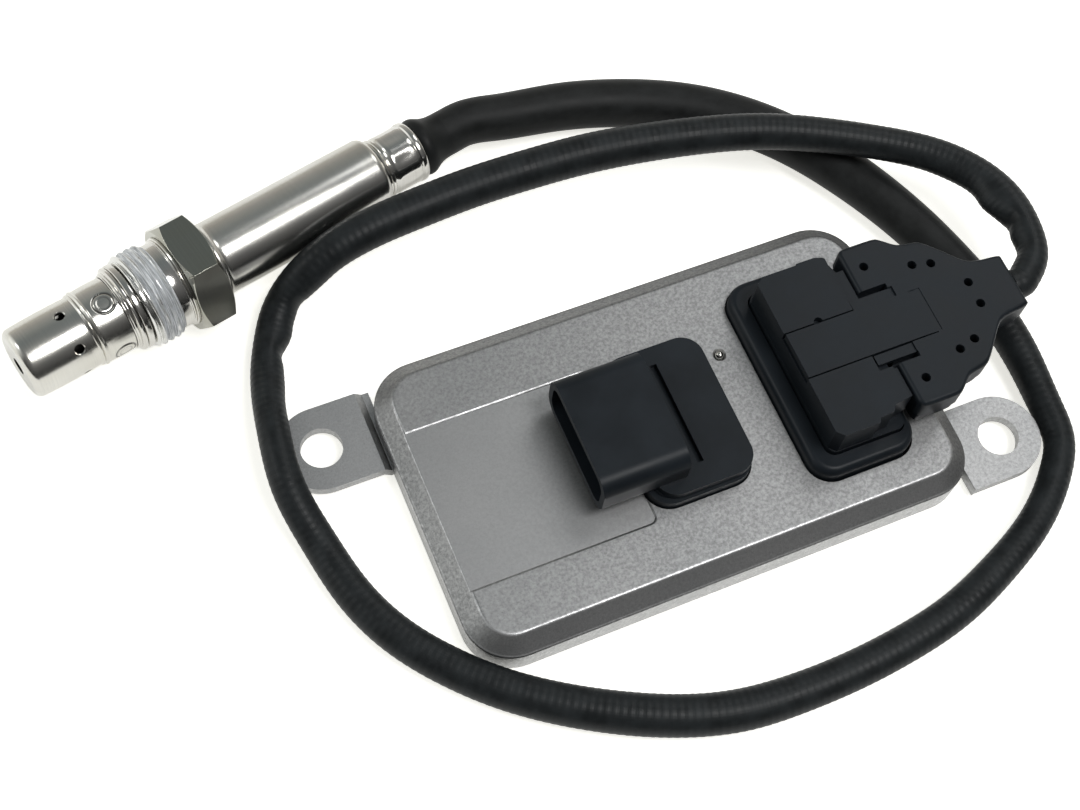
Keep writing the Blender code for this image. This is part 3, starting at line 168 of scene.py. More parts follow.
# %% Outlines and bodies
def round_rectangle(x0, x1, y0, y1, radius, steps=10):
    """Outline of a rectangle with round corners, anticlockwise."""
    points = []
    for cx, cy, start in ((x1 - radius, y1 - radius, 0), (x0 + radius, y1 - radius, 90),
                          (x0 + radius, y0 + radius, 180), (x1 - radius, y0 + radius, 270)):
        for i in range(steps + 1):
            a = math.radians(start + 90 * i / steps)
            points.append((cx + radius * math.cos(a), cy + radius * math.sin(a)))
    return points


def join_rings(bm, low, high):
    """Four-sided faces between two rings of equal point count."""
    for i in range(len(low)):
        j = (i + 1) % len(low)
        bm.faces.new((low[i], low[j], high[j], high[i]))


def layers(name, sections):
    """Body through outlines of equal point count, each given with its height."""
    bm = bmesh.new()
    rings = [[bm.verts.new((x, y, z)) for x, y in outline] for outline, z in sections]
    for low, high in zip(rings, rings[1:]):
        join_rings(bm, low, high)
    bm.faces.new(list(reversed(rings[0])))
    bm.faces.new(rings[-1])
    return keep(name, bm)


def slab(name, outline, z0, z1):
    return layers(name, [(outline, z0), (outline, z1)])


def block(name, x0, x1, y0, y1, z0, z1):
    return slab(name, [(x0, y0), (x1, y0), (x1, y1), (x0, y1)], z0, z1)


def bar(name, x0, x1, outline):
    """Body along X through an outline in Y and Z."""
    bm = bmesh.new()
    near = [bm.verts.new((x0, y, z)) for y, z in outline]
    far = [bm.verts.new((x1, y, z)) for y, z in outline]
    bm.faces.new(near)
    bm.faces.new(list(reversed(far)))
    join_rings(bm, near, far)
    return keep(name, bm)


def pegs(name, places, z0, z1, radius, facets=32):
    """Upright round pegs, as tools for holes."""
    bm = bmesh.new()
    for x, y in places:
        middle = Matrix.Translation((x, y, (z0 + z1) / 2))
        bmesh.ops.create_cone(bm, cap_ends=True, segments=facets, radius1=radius, radius2=radius,
                              depth=z1 - z0, matrix=middle)
    return keep(name, bm)


print("helpers ready")

# %% [markdown]
# ## Finishes
# Each finish is a small node tree on Object coordinates, because a piece's object sits at the origin and
# its place is in its mesh. On the probe the pattern has to turn about the probe's own axis, so a Mapping
# node set to Texture carries world places into the probe's frame: X then runs along the probe.

# %% Node helpers
PROBE_ANGLE = 0.2475
PROBE_TILT = 0.0458
PROBE_POINT = (-55.88, 69.84, 10.605)
probe_turn = Matrix.Rotation(PROBE_ANGLE, 4, "Z") @ Matrix.Rotation(PROBE_TILT, 4, "Y")


def new_finish(name, colour, metallic, roughness, **sockets):
    finish = bpy.data.materials.new(name)
    finish.use_nodes = True
    shader = finish.node_tree.nodes["Principled BSDF"]
    shader.inputs["Base Color"].default_value = (*colour, 1.0)
    shader.inputs["Metallic"].default_value = metallic
    shader.inputs["Roughness"].default_value = roughness
    for socket, value in sockets.items():
        shader.inputs[socket.replace("_", " ")].default_value = value
    return finish, finish.node_tree, shader


def world_place(tree):
    return tree.nodes.new("ShaderNodeTexCoord").outputs["Object"]


def stretched(tree, vector, scale):
    spread = tree.nodes.new("ShaderNodeMapping")
    spread.inputs["Scale"].default_value = scale
    tree.links.new(vector, spread.inputs["Vector"])
    return spread.outputs["Vector"]


def probe_place(tree, stretch=(1, 1, 1)):
    """World places carried into the probe's frame, then stretched."""
    turn = tree.nodes.new("ShaderNodeMapping")
    turn.vector_type = "TEXTURE"
    turn.inputs["Location"].default_value = Vector(PROBE_POINT) * MM
    turn.inputs["Rotation"].default_value = (0, PROBE_TILT, PROBE_ANGLE)
    tree.links.new(world_place(tree), turn.inputs["Vector"])
    return stretched(tree, turn.outputs["Vector"], stretch)


def attribute(tree, name, output):
    """A value that the mesh carries."""
    node = tree.nodes.new("ShaderNodeAttribute")
    node.attribute_name = name
    return node.outputs[output]


def three_ways(tree, vector):
    """The X, Y and Z of a vector."""
    node = tree.nodes.new("ShaderNodeSeparateXYZ")
    tree.links.new(vector, node.inputs[0])
    return node.outputs


def noise(tree, vector, scale, detail=3.0, roughness=0.5):
    node = tree.nodes.new("ShaderNodeTexNoise")
    node.inputs["Scale"].default_value = scale
    node.inputs["Detail"].default_value = detail
    node.inputs["Roughness"].default_value = roughness
    tree.links.new(vector, node.inputs["Vector"])
    return node.outputs["Fac"]


def ramp(tree, factor, stops):
    """Colour ramp; each stop is a position and a colour or a grey."""
    node = tree.nodes.new("ShaderNodeValToRGB")
    for i, (place, colour) in enumerate(stops):
        if not isinstance(colour, tuple):
            colour = (colour, colour, colour)
        point = node.color_ramp.elements[i] if i < 2 else node.color_ramp.elements.new(place)
        point.position = place
        point.color = (*colour, 1.0)
    tree.links.new(factor, node.inputs["Fac"])
    return node.outputs["Color"]


def blend_colours(tree, factor, first, second, mode="MIX"):
    node = tree.nodes.new("ShaderNodeMix")
    node.data_type = "RGBA"
    node.blend_type = mode
    for value, socket in ((factor, node.inputs[0]), (first, node.inputs[6]), (second, node.inputs[7])):
        if isinstance(value, (int, float)):
            socket.default_value = value
        elif isinstance(value, tuple):
            socket.default_value = (*value, 1.0)
        else:
            tree.links.new(value, socket)
    return node.outputs[2]


def maths(tree, operation, *values):
    node = tree.nodes.new("ShaderNodeMath")
    node.operation = operation
    for value, socket in zip(values, node.inputs):
        if isinstance(value, (int, float)):
            socket.default_value = value
        else:
            tree.links.new(value, socket)
    return node.outputs[0]


def between(tree, value, low, high):
    """0 to 1 as the value goes from low to high."""
    node = tree.nodes.new("ShaderNodeMapRange")
    node.inputs["From Min"].default_value = low
    node.inputs["From Max"].default_value = high
    tree.links.new(value, node.inputs["Value"])
    return node.outputs["Result"]


def tinted(colour, share):
    """The colour made darker or lighter."""
    return tuple(min(c * share, 1.0) for c in colour)


def choose_shader(tree, factor, first, second):
    """The first shader where the factor is 0, the second where it is 1."""
    node = tree.nodes.new("ShaderNodeMixShader")
    for value, socket in zip((factor, first, second), node.inputs):
        tree.links.new(value, socket)
    return node.outputs[0]


def relief(tree, height, strength, depth, under=None):
    """Bump of the given depth in millimetres, on top of another one if given."""
    node = tree.nodes.new("ShaderNodeBump")
    node.inputs["Strength"].default_value = strength
    node.inputs["Distance"].default_value = depth * MM
    tree.links.new(height, node.inputs["Height"])
    if under is not None:
        tree.links.new(under, node.inputs["Normal"])
    return node.outputs["Normal"]


print("node helpers ready")

# %% [markdown]
# ### Cast aluminium
# The cover is die-cast and blasted: a mid-grey skin with a fine speckle of lighter and darker grains,
# slow clouds of tone and a fine grainy relief. The field for a label is milled smoother. The rim of the
# raised top is rubbed smoother and lighter, and that lighter colour is partly a painted highlight. The wall's
# foot is smoother too, so it mirrors the white table, and its lighter colour adds a painted reflection of it.
# The pressed plate has the same metal with a lightly scuffed skin.


# %% Aluminium finishes
def cast_finish(name, dark, light, grain, relief_depth, roughness):
    finish, tree, shader = new_finish(name, (light, light, light), 1.0, roughness)
    place = world_place(tree)
    speckle = noise(tree, place, 3400.0, 2.0, 0.7)
    flecks = noise(tree, place, 1500.0, 3.0, 0.6)
    clouds = noise(tree, place, 60.0, 2.0, 0.5)
    body = ramp(tree, speckle, [(0.30, dark), (0.70, light)])
    body = blend_colours(tree, grain, body, ramp(tree, flecks, [(0.36, dark * 0.8), (0.66, light * 1.12)]))
    haze = ramp(tree, clouds, [(0.3, (0.80, 0.82, 0.83)), (0.7, (1.0, 1.0, 1.0))])
    body = blend_colours(tree, 0.35, body, haze, "MULTIPLY")
    tree.links.new(body, shader.inputs["Base Color"])
    gloss = ramp(tree, flecks, [(0.3, roughness + 0.08), (0.7, roughness - 0.06)])
    tree.links.new(gloss, shader.inputs["Roughness"])
    fine = relief(tree, speckle, 0.5, relief_depth)
    tree.links.new(relief(tree, flecks, 0.6, relief_depth * 2.2, fine), shader.inputs["Normal"])
    return finish


cast_skin = cast_finish("cast skin", 0.28, 0.46, 0.45, 0.012, 0.48)
label_skin = cast_finish("label field skin", 0.36, 0.43, 0.35, 0.006, 0.46)
plate_skin = cast_finish("plate skin", 0.36, 0.53, 0.35, 0.008, 0.44)
# Rounding of the raised rim: rubbed smoother, and its lighter colour is partly a painted highlight.
rubbed_edge_and_highlight = cast_finish("rubbed edge and painted highlight", 0.40, 0.58, 0.4, 0.004, 0.42)
# Wall's foot: a smoother skin, and its lighter colour is a painted reflection of the white table.
wall_foot_and_reflection = cast_finish("wall foot and painted reflection", 0.44, 0.57, 0.4, 0.006, 0.31)
print("aluminium finishes ready")

# %% [markdown]
# ### Black plastic and rubber
# The headers, the plug and its cover are one satin black with a slightly blue cast and a very fine
# moulded grain. Its surface is never a perfect mirror, so the roughness wanders a little too.


# %% Black finishes
def black_finish(name, colour, roughness, grain_scale, grain_depth):
    finish, tree, shader = new_finish(name, colour, 0.0, roughness, Specular_IOR_Level=0.17)
    place = world_place(tree)
    grain = noise(tree, place, grain_scale, 2.0, 0.6)
    patches = noise(tree, place, 90.0, 3.0, 0.55)
    body = ramp(tree, patches, [(0.35, tinted(colour, 0.82)), (0.65, tinted(colour, 1.18))])
    tree.links.new(body, shader.inputs["Base Color"])
    gloss = ramp(tree, patches, [(0.3, roughness - 0.05), (0.7, roughness + 0.05)])
    tree.links.new(gloss, shader.inputs["Roughness"])
    tree.links.new(relief(tree, grain, 0.5, grain_depth), shader.inputs["Normal"])
    return finish


black_moulding = black_finish("black moulding", (0.012, 0.0155, 0.0195), 0.38, 2600.0, 0.006)
boot_rubber = black_finish("boot rubber", (0.012, 0.013, 0.013), 0.50, 1500.0, 0.006)
seal_silicone = black_finish("seal silicone", (0.26, 0.07, 0.045), 0.6, 1200.0, 0.01)
print("black finishes ready")

# %% [markdown]
# ### Cable skins
# The thin cable wears a tight braided skin over a ribbed tube, the thick one a smoother hose. Both carry
# an attribute from their making, with the way along and the way round in millimetres, so that a pattern
# follows the bends. The skin's strands are two sines, one leaning each way.


# %% Cable finishes
def cable_finish(name, colour, roughness, strand_wide, strand_depth):
    finish, tree, shader = new_finish(name, colour, 0.0, roughness, Specular_IOR_Level=0.2)
    lay = attribute(tree, "lay", "Vector")
    along, way_round, _ = three_ways(tree, lay)
    step = 2 * math.pi / strand_wide
    leaning, crossing = [maths(tree, "SINE", maths(tree, "MULTIPLY", maths(tree, how, along, way_round), step))
                         for how in ("ADD", "SUBTRACT")]
    weave = maths(tree, "MULTIPLY", leaning, crossing)
    dust = noise(tree, lay, 0.22, 3.0, 0.6)
    body = ramp(tree, dust, [(0.35, tinted(colour, 0.7)), (0.68, tinted(colour, 1.35))])
    tree.links.new(body, shader.inputs["Base Color"])
    gloss = ramp(tree, dust, [(0.3, roughness - 0.05), (0.7, roughness + 0.06)])
    tree.links.new(gloss, shader.inputs["Roughness"])
    tree.links.new(relief(tree, weave, 0.8, strand_depth), shader.inputs["Normal"])
    return finish


sleeve_skin = cable_finish("braided sleeve", (0.0145, 0.0170, 0.0182), 0.42, 0.95, 0.006)
hose_skin = cable_finish("hose skin", (0.012, 0.013, 0.013), 0.50, 0.8, 0.004)
print("cable finishes ready")

# %% [markdown]
# ### Steels
# The probe is turned, so its marks run round it: noise that is squeezed along the axis and very long
# round it gives fine rings in the colour, the roughness and the relief. The thread is smeared with grey
# assembly paste, which lies in streaks along the grooves and leaves the front land and some crests bare. So
# its pattern is laid out by the way along the axis and the way round it.


# %% Steel finishes
def turned_steel(name, colour, roughness, ring_depth, groove_shaded=False):
    finish, tree, shader = new_finish(name, colour, 1.0, roughness)
    rings = noise(tree, probe_place(tree, (4200.0, 12.0, 12.0)), 1.0, 3.0, 0.6)
    smears = noise(tree, probe_place(tree, (60.0, 130.0, 130.0)), 1.0, 3.0, 0.6)
    body = ramp(tree, rings, [(0.3, tinted(colour, 0.88)), (0.7, colour)])
    warmth = ramp(tree, smears, [(0.35, (0.86, 0.84, 0.78)), (0.65, (1.0, 1.0, 1.0))])
    body = blend_colours(tree, 0.5, body, warmth, "MULTIPLY")
    # Painted shade: near-black is blended in where the mesh marks the hollows of the press rings.
    if groove_shaded:
        body = blend_colours(tree, attribute(tree, "painted_groove_shade", "Fac"), body, (0.035, 0.035, 0.03))
    tree.links.new(body, shader.inputs["Base Color"])
    gloss = ramp(tree, smears, [(0.3, roughness + 0.05), (0.7, roughness - 0.04)])
    tree.links.new(gloss, shader.inputs["Roughness"])
    tree.links.new(relief(tree, rings, 0.4, ring_depth), shader.inputs["Normal"])
    return finish


polished_steel = turned_steel("polished steel", (0.74, 0.73, 0.70), 0.14, 0.003)
drawn_steel = turned_steel("drawn steel", (0.70, 0.69, 0.66), 0.22, 0.012)
cap_steel = turned_steel("cap steel", (0.74, 0.73, 0.69), 0.20, 0.004, groove_shaded=True)
nut_steel = turned_steel("nut steel", (0.46, 0.46, 0.41), 0.12, 0.006)
# Near-black for the cap's inner skin and the walls of its gas holes: painted shade.
painted_hole_shade = black_finish("painted_hole_shade", (0.012, 0.011, 0.010), 0.9, 900.0, 0.03)


# %% The thread's paste
THREAD_RADIUS = 10.0
PASTE_START = -33.5


def paste_finish():
    finish, tree, shader = new_finish("thread with paste", (0.55, 0.55, 0.53), 0.5, 0.5)
    along, across, upward = three_ways(tree, probe_place(tree))
    squares = [maths(tree, "POWER", way, 2.0) for way in (across, upward)]
    away = maths(tree, "SQRT", maths(tree, "ADD", *squares))
    way_round = maths(tree, "MULTIPLY", maths(tree, "ARCTAN2", across, upward), THREAD_RADIUS * MM)
    laid = tree.nodes.new("ShaderNodeCombineXYZ")
    tree.links.new(along, laid.inputs[0])
    tree.links.new(way_round, laid.inputs[1])
    streaks = noise(tree, stretched(tree, laid.outputs[0], (5200.0, 200.0, 1.0)), 1.0, 4.0, 0.62)
    patches = noise(tree, stretched(tree, laid.outputs[0], (500.0, 160.0, 1.0)), 1.0, 3.0, 0.6)
    front = between(tree, along, PASTE_START * MM, (PASTE_START + 0.7) * MM)
    crest = between(tree, away, (THREAD_RADIUS - 0.25) * MM, (THREAD_RADIUS - 0.03) * MM)
    worn = maths(tree, "MULTIPLY", crest, ramp(tree, patches, [(0.46, 0.05), (0.62, 0.9)]))
    paste = maths(tree, "MULTIPLY", front, maths(tree, "SUBTRACT", 1.0, worn))
    powder = ramp(tree, streaks, [(0.34, (0.26, 0.27, 0.28)), (0.50, (0.56, 0.58, 0.60)),
                                  (0.64, (0.92, 0.94, 0.95))])
    tree.links.new(blend_colours(tree, paste, (0.74, 0.74, 0.72), powder), shader.inputs["Base Color"])
    bare = maths(tree, "SUBTRACT", 1.0, maths(tree, "MULTIPLY", paste, 0.75))
    tree.links.new(bare, shader.inputs["Metallic"])
    gloss = maths(tree, "ADD", 0.2, maths(tree, "MULTIPLY", paste, 0.28))
    tree.links.new(gloss, shader.inputs["Roughness"])
    depth = maths(tree, "MULTIPLY", streaks, maths(tree, "ADD", paste, 0.15))
    tree.links.new(relief(tree, depth, 0.8, 0.11), shader.inputs["Normal"])
    return finish


thread_paste = paste_finish()
print("steel finishes ready")


# %% Small finishes for pins, ceramics and the board
def plain_finish(name, colour, metallic, roughness, scale):
    finish, tree, shader = new_finish(name, colour, metallic, roughness)
    patches = noise(tree, world_place(tree), scale, 3.0, 0.6)
    body = ramp(tree, patches, [(0.3, tinted(colour, 0.88)), (0.7, tinted(colour, 1.12))])
    tree.links.new(body, shader.inputs["Base Color"])
    tree.links.new(relief(tree, patches, 0.3, 0.01), shader.inputs["Normal"])
    return finish


pin_metal = plain_finish("pin metal", (0.80, 0.74, 0.58), 1.0, 0.25, 900.0)
ceramic_white = plain_finish("ceramic white", (0.80, 0.78, 0.71), 0.0, 0.45, 700.0)
powder_grey = plain_finish("pressed powder", (0.62, 0.61, 0.57), 0.0, 0.9, 1500.0)
board_green = plain_finish("board green", (0.02, 0.13, 0.05), 0.0, 0.4, 500.0)
chip_black = plain_finish("chip black", (0.02, 0.02, 0.02), 0.0, 0.5, 1200.0)
print("small finishes ready")

# %% [markdown]
# ## Cables
# The cable leaves the probe as a thick smooth hose, comes down to the table and runs under the plug's
# side. From there it goes on as a thinner ribbed sleeve, all round the control unit, past the probe and
# back into the plug. The route points are the frame's own, and a natural cubic curve joins them.

# %% Cable routes
HOSE_DIAMETER = 10.0
SLEEVE_DIAMETER = 7.2
BOOT_END = 39.9
GAP = 0.3
NECK_ENTRY = (75.3, 0.2, 17.5)


def probe_point(s):
    """The point of the probe's axis at station s, in the world."""
    return tuple(Vector(PROBE_POINT) + probe_turn @ Vector((s, 0, 0)))


hose_route = [probe_point(BOOT_END + 2.5), probe_point(BOOT_END + 5.0), (-3.95, 80.6, 7.5),
              (9.55, 79.4, 6.2), (22.6, 76.4, 5.5), (34.8, 71.3, 5.3), (45.7, 63.9, 5.3),
              (54.7, 54.6, 5.3), (61.9, 43.7, 5.3), (68.0, 31.2, 5.3), (72.6, 18.5, 5.2),
              (76.0, 6.0, 5.1)]
sleeve_route = [(76.15, 5.5, 5.0), (77.2, -9.6, 4.3), (76.3, -22.4, 3.8), (75.1, -29.2, 3.8),
                (71.6, -34.6, 3.8), (61.2, -43.5, 3.8), (49.5, -49.4, 3.8), (37.3, -53.8, 3.8),
                (24.8, -56.1, 3.8), (12.8, -57.1, 3.8), (1.1, -57.1, 3.8), (-10.3, -56.0, 3.8),
                (-21.3, -52.8, 3.8), (-31.5, -48.1, 3.8), (-41.1, -42.4, 3.8), (-49.9, -35.8, 3.8),
                (-57.9, -27.8, 3.8), (-64.6, -18.7, 3.8), (-69.3, -7.9, 3.8), (-71.9, 3.9, 4.4),
                (-73.7, 14.8, 7.4), (-72.6, 27.2, 7.9), (-69.3, 41.5, 4.6), (-66.3, 48.0, 4.0),
                (-62.7, 53.4, 4.8), (-53.6, 58.1, 10.0), (-42.5, 60.3, 13.0), (-29.6, 61.7, 13.4),
                (-16.9, 62.4, 13.6), (-4.4, 62.2, 13.9), (8.4, 61.4, 14.2), (21.3, 59.5, 14.4),
                (33.8, 56.8, 14.6), (46.2, 53.0, 14.8), (58.0, 47.6, 14.8), (69.2, 41.4, 14.6),
                (79.2, 33.5, 14.9), (85.4, 21.8, 16.0), (85.6, 12.0, 16.9), (83.0, 4.4, 17.4),
                (78.2, 0.3, 17.5)]


def smooth_route(points, count):
    """Natural cubic through the points, read at equal steps of chord length."""
    p = np.array(points, float)
    t = np.concatenate([[0], np.cumsum(np.linalg.norm(np.diff(p, axis=0), axis=1))])
    n = len(p)
    h = np.diff(t)
    a = np.zeros((n, n))
    rhs = np.zeros((n, 3))
    a[0, 0] = a[-1, -1] = 1
    for i in range(1, n - 1):
        a[i, i - 1], a[i, i], a[i, i + 1] = h[i - 1], 2 * (h[i - 1] + h[i]), h[i]
        rhs[i] = 6 * ((p[i + 1] - p[i]) / h[i] - (p[i] - p[i - 1]) / h[i - 1])
    m = np.linalg.solve(a, rhs)
    out = []
    for u in np.linspace(0, t[-1], count):
        i = min(max(int(np.searchsorted(t, u) - 1), 0), n - 2)
        x = (u - t[i]) / h[i]
        out.append((1 - x) * p[i] + x * p[i + 1]
                   + h[i] ** 2 / 6 * (((1 - x) ** 3 - (1 - x)) * m[i] + (x ** 3 - x) * m[i + 1]))
    return np.array(out)


def run_length(line):
    return float(np.linalg.norm(np.diff(line, axis=0), axis=1).sum())


hose_line = np.vstack([probe_point(BOOT_END - 0.05), smooth_route(hose_route, 150)])
sleeve_line = np.vstack([smooth_route(sleeve_route, 420), NECK_ENTRY])
print("cable: hose %.0f mm, sleeve %.0f mm" % (run_length(hose_line), run_length(sleeve_line)))

# %% [markdown]
# ### The tube tree
# A tree of Geometry Nodes draws a tube along a line: it steps the line finely, gives each step a radius,
# with small ribs as a sine of the length, and sweeps a circle along it. The way along and round are kept
# as an attribute for the finish. Widths that change along the cable, where it flattens in a bend, come in
# as an attribute on the line.


# %% Tube tree
def input_socket(tree, name, kind, value):
    socket = tree.interface.new_socket(name, in_out="INPUT", socket_type=kind)
    if value is not None:
        socket.default_value = value
    return socket


def noted(tree, geometry, name, value):
    """Keeps a value on each point of the geometry, as a named attribute."""
    node = tree.nodes.new("GeometryNodeStoreNamedAttribute")
    node.data_type = "FLOAT"
    node.domain = "POINT"
    node.inputs["Name"].default_value = name
    tree.links.new(geometry, node.inputs["Geometry"])
    tree.links.new(value, node.inputs["Value"])
    return node.outputs["Geometry"]


def tube_tree():
    tree = bpy.data.node_groups.new("ribbed tube", "GeometryNodeTree")
    tree.interface.new_socket("Geometry", in_out="INPUT", socket_type="NodeSocketGeometry")
    input_socket(tree, "Step", "NodeSocketFloat", 0.3 * MM)
    input_socket(tree, "Rib Pitch", "NodeSocketFloat", 1.8 * MM)
    input_socket(tree, "Rib Depth", "NodeSocketFloat", 0.02)
    input_socket(tree, "Facets", "NodeSocketInt", 32)
    input_socket(tree, "Skin", "NodeSocketMaterial", None)
    tree.interface.new_socket("Geometry", in_out="OUTPUT", socket_type="NodeSocketGeometry")
    add, link = tree.nodes.new, tree.links.new
    source, result = add("NodeGroupInput"), add("NodeGroupOutput")
    line = add("GeometryNodeMeshToCurve")
    link(source.outputs["Geometry"], line.inputs["Mesh"])
    steps = add("GeometryNodeResampleCurve")
    steps.mode = "LENGTH"
    link(line.outputs["Curve"], steps.inputs["Curve"])
    link(source.outputs["Step"], steps.inputs["Length"])
    along = add("GeometryNodeSplineParameter").outputs["Length"]
    turns = maths(tree, "DIVIDE", along, source.outputs["Rib Pitch"])
    wave = maths(tree, "SINE", maths(tree, "MULTIPLY", turns, 2 * math.pi))
    rib = maths(tree, "MULTIPLY_ADD", wave, source.outputs["Rib Depth"], 1.0)
    width = add("GeometryNodeInputNamedAttribute")
    width.data_type = "FLOAT"
    width.inputs["Name"].default_value = "width"
    ring = add("GeometryNodeCurvePrimitiveCircle")
    ring.inputs["Radius"].default_value = 1.0
    link(source.outputs["Facets"], ring.inputs["Resolution"])
    way_round = add("GeometryNodeSplineParameter").outputs["Factor"]
    sweep = add("GeometryNodeCurveToMesh")
    sweep.inputs["Fill Caps"].default_value = True
    link(noted(tree, steps.outputs["Curve"], "along", along), sweep.inputs["Curve"])
    link(noted(tree, ring.outputs["Curve"], "round", way_round), sweep.inputs["Profile Curve"])
    link(maths(tree, "MULTIPLY", rib, width.outputs["Attribute"]), sweep.inputs["Scale"])
    real = add("GeometryNodeRealizeInstances")
    link(sweep.outputs["Mesh"], real.inputs["Geometry"])
    skin = add("GeometryNodeSetMaterial")
    link(real.outputs["Geometry"], skin.inputs["Geometry"])
    link(source.outputs["Skin"], skin.inputs["Material"])
    link(skin.outputs["Geometry"], result.inputs["Geometry"])
    return tree


def grow(piece, tree, **values):
    """Runs a tree on the piece, with inputs set by their names' identifiers, and keeps the plain mesh."""
    mod = piece.modifiers.new("nodes", "NODES")
    mod.node_group = tree
    sockets = [s for s in tree.interface.items_tree if s.item_type == "SOCKET" and s.in_out == "INPUT"]
    ids = {s.name: s.identifier for s in sockets}
    for name, value in values.items():
        mod[ids[name.replace("_", " ")]] = value
    return as_mesh(piece)


ribbed_tube = tube_tree()
print("tube tree:", len(ribbed_tube.nodes), "nodes")

# %% [markdown]
# The sleeve's width changes along its way: it is drawn thin where it bends hard and spreads where it lies
# free. Each pair below is a way along the cable and a width, both in millimetres. After the sweep, the
# inner side of three bends is pushed in or swells, as a sleeve over loose wires does.

# %% Widths and creases
SLEEVE_STRANDS = 24
HOSE_STRANDS = 40
hose_widths = [(0, 9.7), (4, 9.65), (12, 9.9), (30, 10.4), (60, 10.6), (95, 10.4), (115, 9.8),
               (130, 9.0), (145, 8.2), (150, 7.9)]
sleeve_widths = [(0, 7.9), (12, 7.7), (23, 7.0), (35, 6.5), (46, 6.5), (60, 6.8), (75, 7.2), (95, 7.4),
                 (115, 7.6), (128, 8.0), (150, 8.1), (165, 7.9), (180, 7.6), (200, 7.4), (222, 7.0),
                 (240, 6.5), (256, 6.4), (268, 6.9), (282, 7.6), (295, 8.1), (310, 8.4), (350, 8.4),
                 (370, 8.0), (392, 7.6), (410, 7.2), (430, 7.3), (444, 7.4), (452, 6.7), (460, 6.5),
                 (466, 6.4)]
sleeve_creases = [(36.0, 5.0, -0.25), (256.0, 4.0, 0.35), (264.0, 2.2, -0.75), (269.0, 2.6, 0.45),
                  (277.0, 2.2, -0.6), (284.0, 4.0, 0.3), (428.0, 6.0, 0.3), (440.0, 4.2, 1.5),
                  (447.5, 2.0, -0.9), (455.0, 3.0, -0.5)]


def read(items, key, wide=1, kind=np.float32):
    """One value, or a few, of each item as an array."""
    values = np.zeros(len(items) * wide, kind)
    items.foreach_get(key, values)
    return values


def lay_cable(name, line, widths, creases, strands, skin, **tree_values):
    """Sweeps the tube along the line, then presses its creases into the inner side of the bends."""
    way = np.concatenate([[0], np.cumsum(np.linalg.norm(np.diff(line, axis=0), axis=1))])
    stops, sizes = zip(*widths)
    smooth = np.interp(way, stops, sizes)
    for _ in range(8):
        smooth[1:-1] = (smooth[:-2] + 2 * smooth[1:-1] + smooth[2:]) / 4
    line = np.column_stack([line[:, :2], np.maximum(line[:, 2], smooth / 2)])
    bm = bmesh.new()
    dots = [bm.verts.new(Vector(p) * MM) for p in line]
    for a, b in zip(dots, dots[1:]):
        bm.edges.new((a, b))
    mesh = bpy.data.meshes.new(name)
    bm.to_mesh(mesh)
    bm.free()
    layer = mesh.attributes.new("width", "FLOAT", "POINT")
    layer.data.foreach_set("value", (smooth / 2 * MM).astype(np.float32))
    piece = bpy.data.objects.new(name, mesh)
    bpy.context.scene.collection.objects.link(piece)
    grow(piece, ribbed_tube, Skin=skin, **tree_values)
    mesh = piece.data
    along = read(mesh.attributes["along"].data, "value") / MM
    turn = read(mesh.attributes["round"].data, "value")
    places = read(mesh.vertices, "co", 3).reshape(-1, 3) / MM

    def at(shift):
        """The line's point that much further on than each point of the skin."""
        return np.stack([np.interp(along + shift, way, line[:, k]) for k in range(3)], axis=1)

    middle = at(0)
    bend = (at(9) + at(-9)) / 2 - middle
    ahead = at(4) - at(-4)
    ahead /= np.linalg.norm(ahead, axis=1, keepdims=True)
    bend[:, 2] = 0
    bend -= ahead * (bend * ahead).sum(axis=1, keepdims=True)
    inward = bend / np.maximum(np.linalg.norm(bend, axis=1, keepdims=True), 1e-6)
    out = places - middle
    side = (out * inward).sum(axis=1) / np.maximum(np.linalg.norm(out, axis=1), 1e-6)
    push = np.zeros(len(along))
    for centre, reach, amount in creases:
        push += amount * np.exp(-((along - centre) / reach) ** 2)
    places += inward * (push * np.clip(side, 0, 1) ** 1.6)[:, None]
    mesh.vertices.foreach_set("co", (places * MM).astype(np.float32).ravel())
    corners = read(mesh.loops, "vertex_index", 1, np.int32)
    lay = np.zeros((len(corners), 3), np.float32)
    lay[:, 0] = along[corners]
    lay[:, 1] = turn[corners]
    starts = read(mesh.polygons, "loop_start", 1, np.int32)
    totals = read(mesh.polygons, "loop_total", 1, np.int32)
    for start, total in zip(starts, totals):
        part = lay[start:start + total, 1]
        if total == 4 and part.max() - part.min() > 0.5:
            part[part < 0.5] += 1.0
    lay[:, 1] *= strands * 0.95
    layer = mesh.attributes.new("lay", "FLOAT_VECTOR", "CORNER")
    layer.data.foreach_set("vector", lay.ravel())
    mesh.polygons.foreach_set("use_smooth", [True] * len(mesh.polygons))
    print("%s: %d faces, %.0f mm long" % (name, len(mesh.polygons), way[-1]))
    return piece


hose = lay_cable("hose", hose_line, hose_widths, [], HOSE_STRANDS, hose_skin,
                 Step=0.8 * MM, Rib_Pitch=1.8 * MM, Rib_Depth=0.0, Facets=40)
sleeve = lay_cable("sleeve", sleeve_line, sleeve_widths, sleeve_creases, SLEEVE_STRANDS, sleeve_skin,
                   Step=0.3 * MM, Rib_Pitch=1.5 * MM, Rib_Depth=0.007, Facets=40)

# %% The cables on the frame
hose_exit = Vector(probe_point(BOOT_END)) * MM
sleeve_exit = Vector(NECK_ENTRY) * MM
for piece, node, exit_place, line, diameter, slot_name in (
        (hose, "cable_hose", hose_exit, hose_line, HOSE_DIAMETER, "black_rubber"),
        (sleeve, "cable_sleeve", sleeve_exit, sleeve_line[::-1], SLEEVE_DIAMETER, "braided_sleeve")):
    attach(piece, "sensor")
    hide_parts(node)

# %% [markdown]
# ## Control unit
# The cover is one casting: upright walls, a bevelled rim and a raised top with a shallow field for a label,
# which stays bare here. It is built in layers of round-cornered outlines. The two header windows and the
# label field are cut from it, so their corners stay as round as the castings.

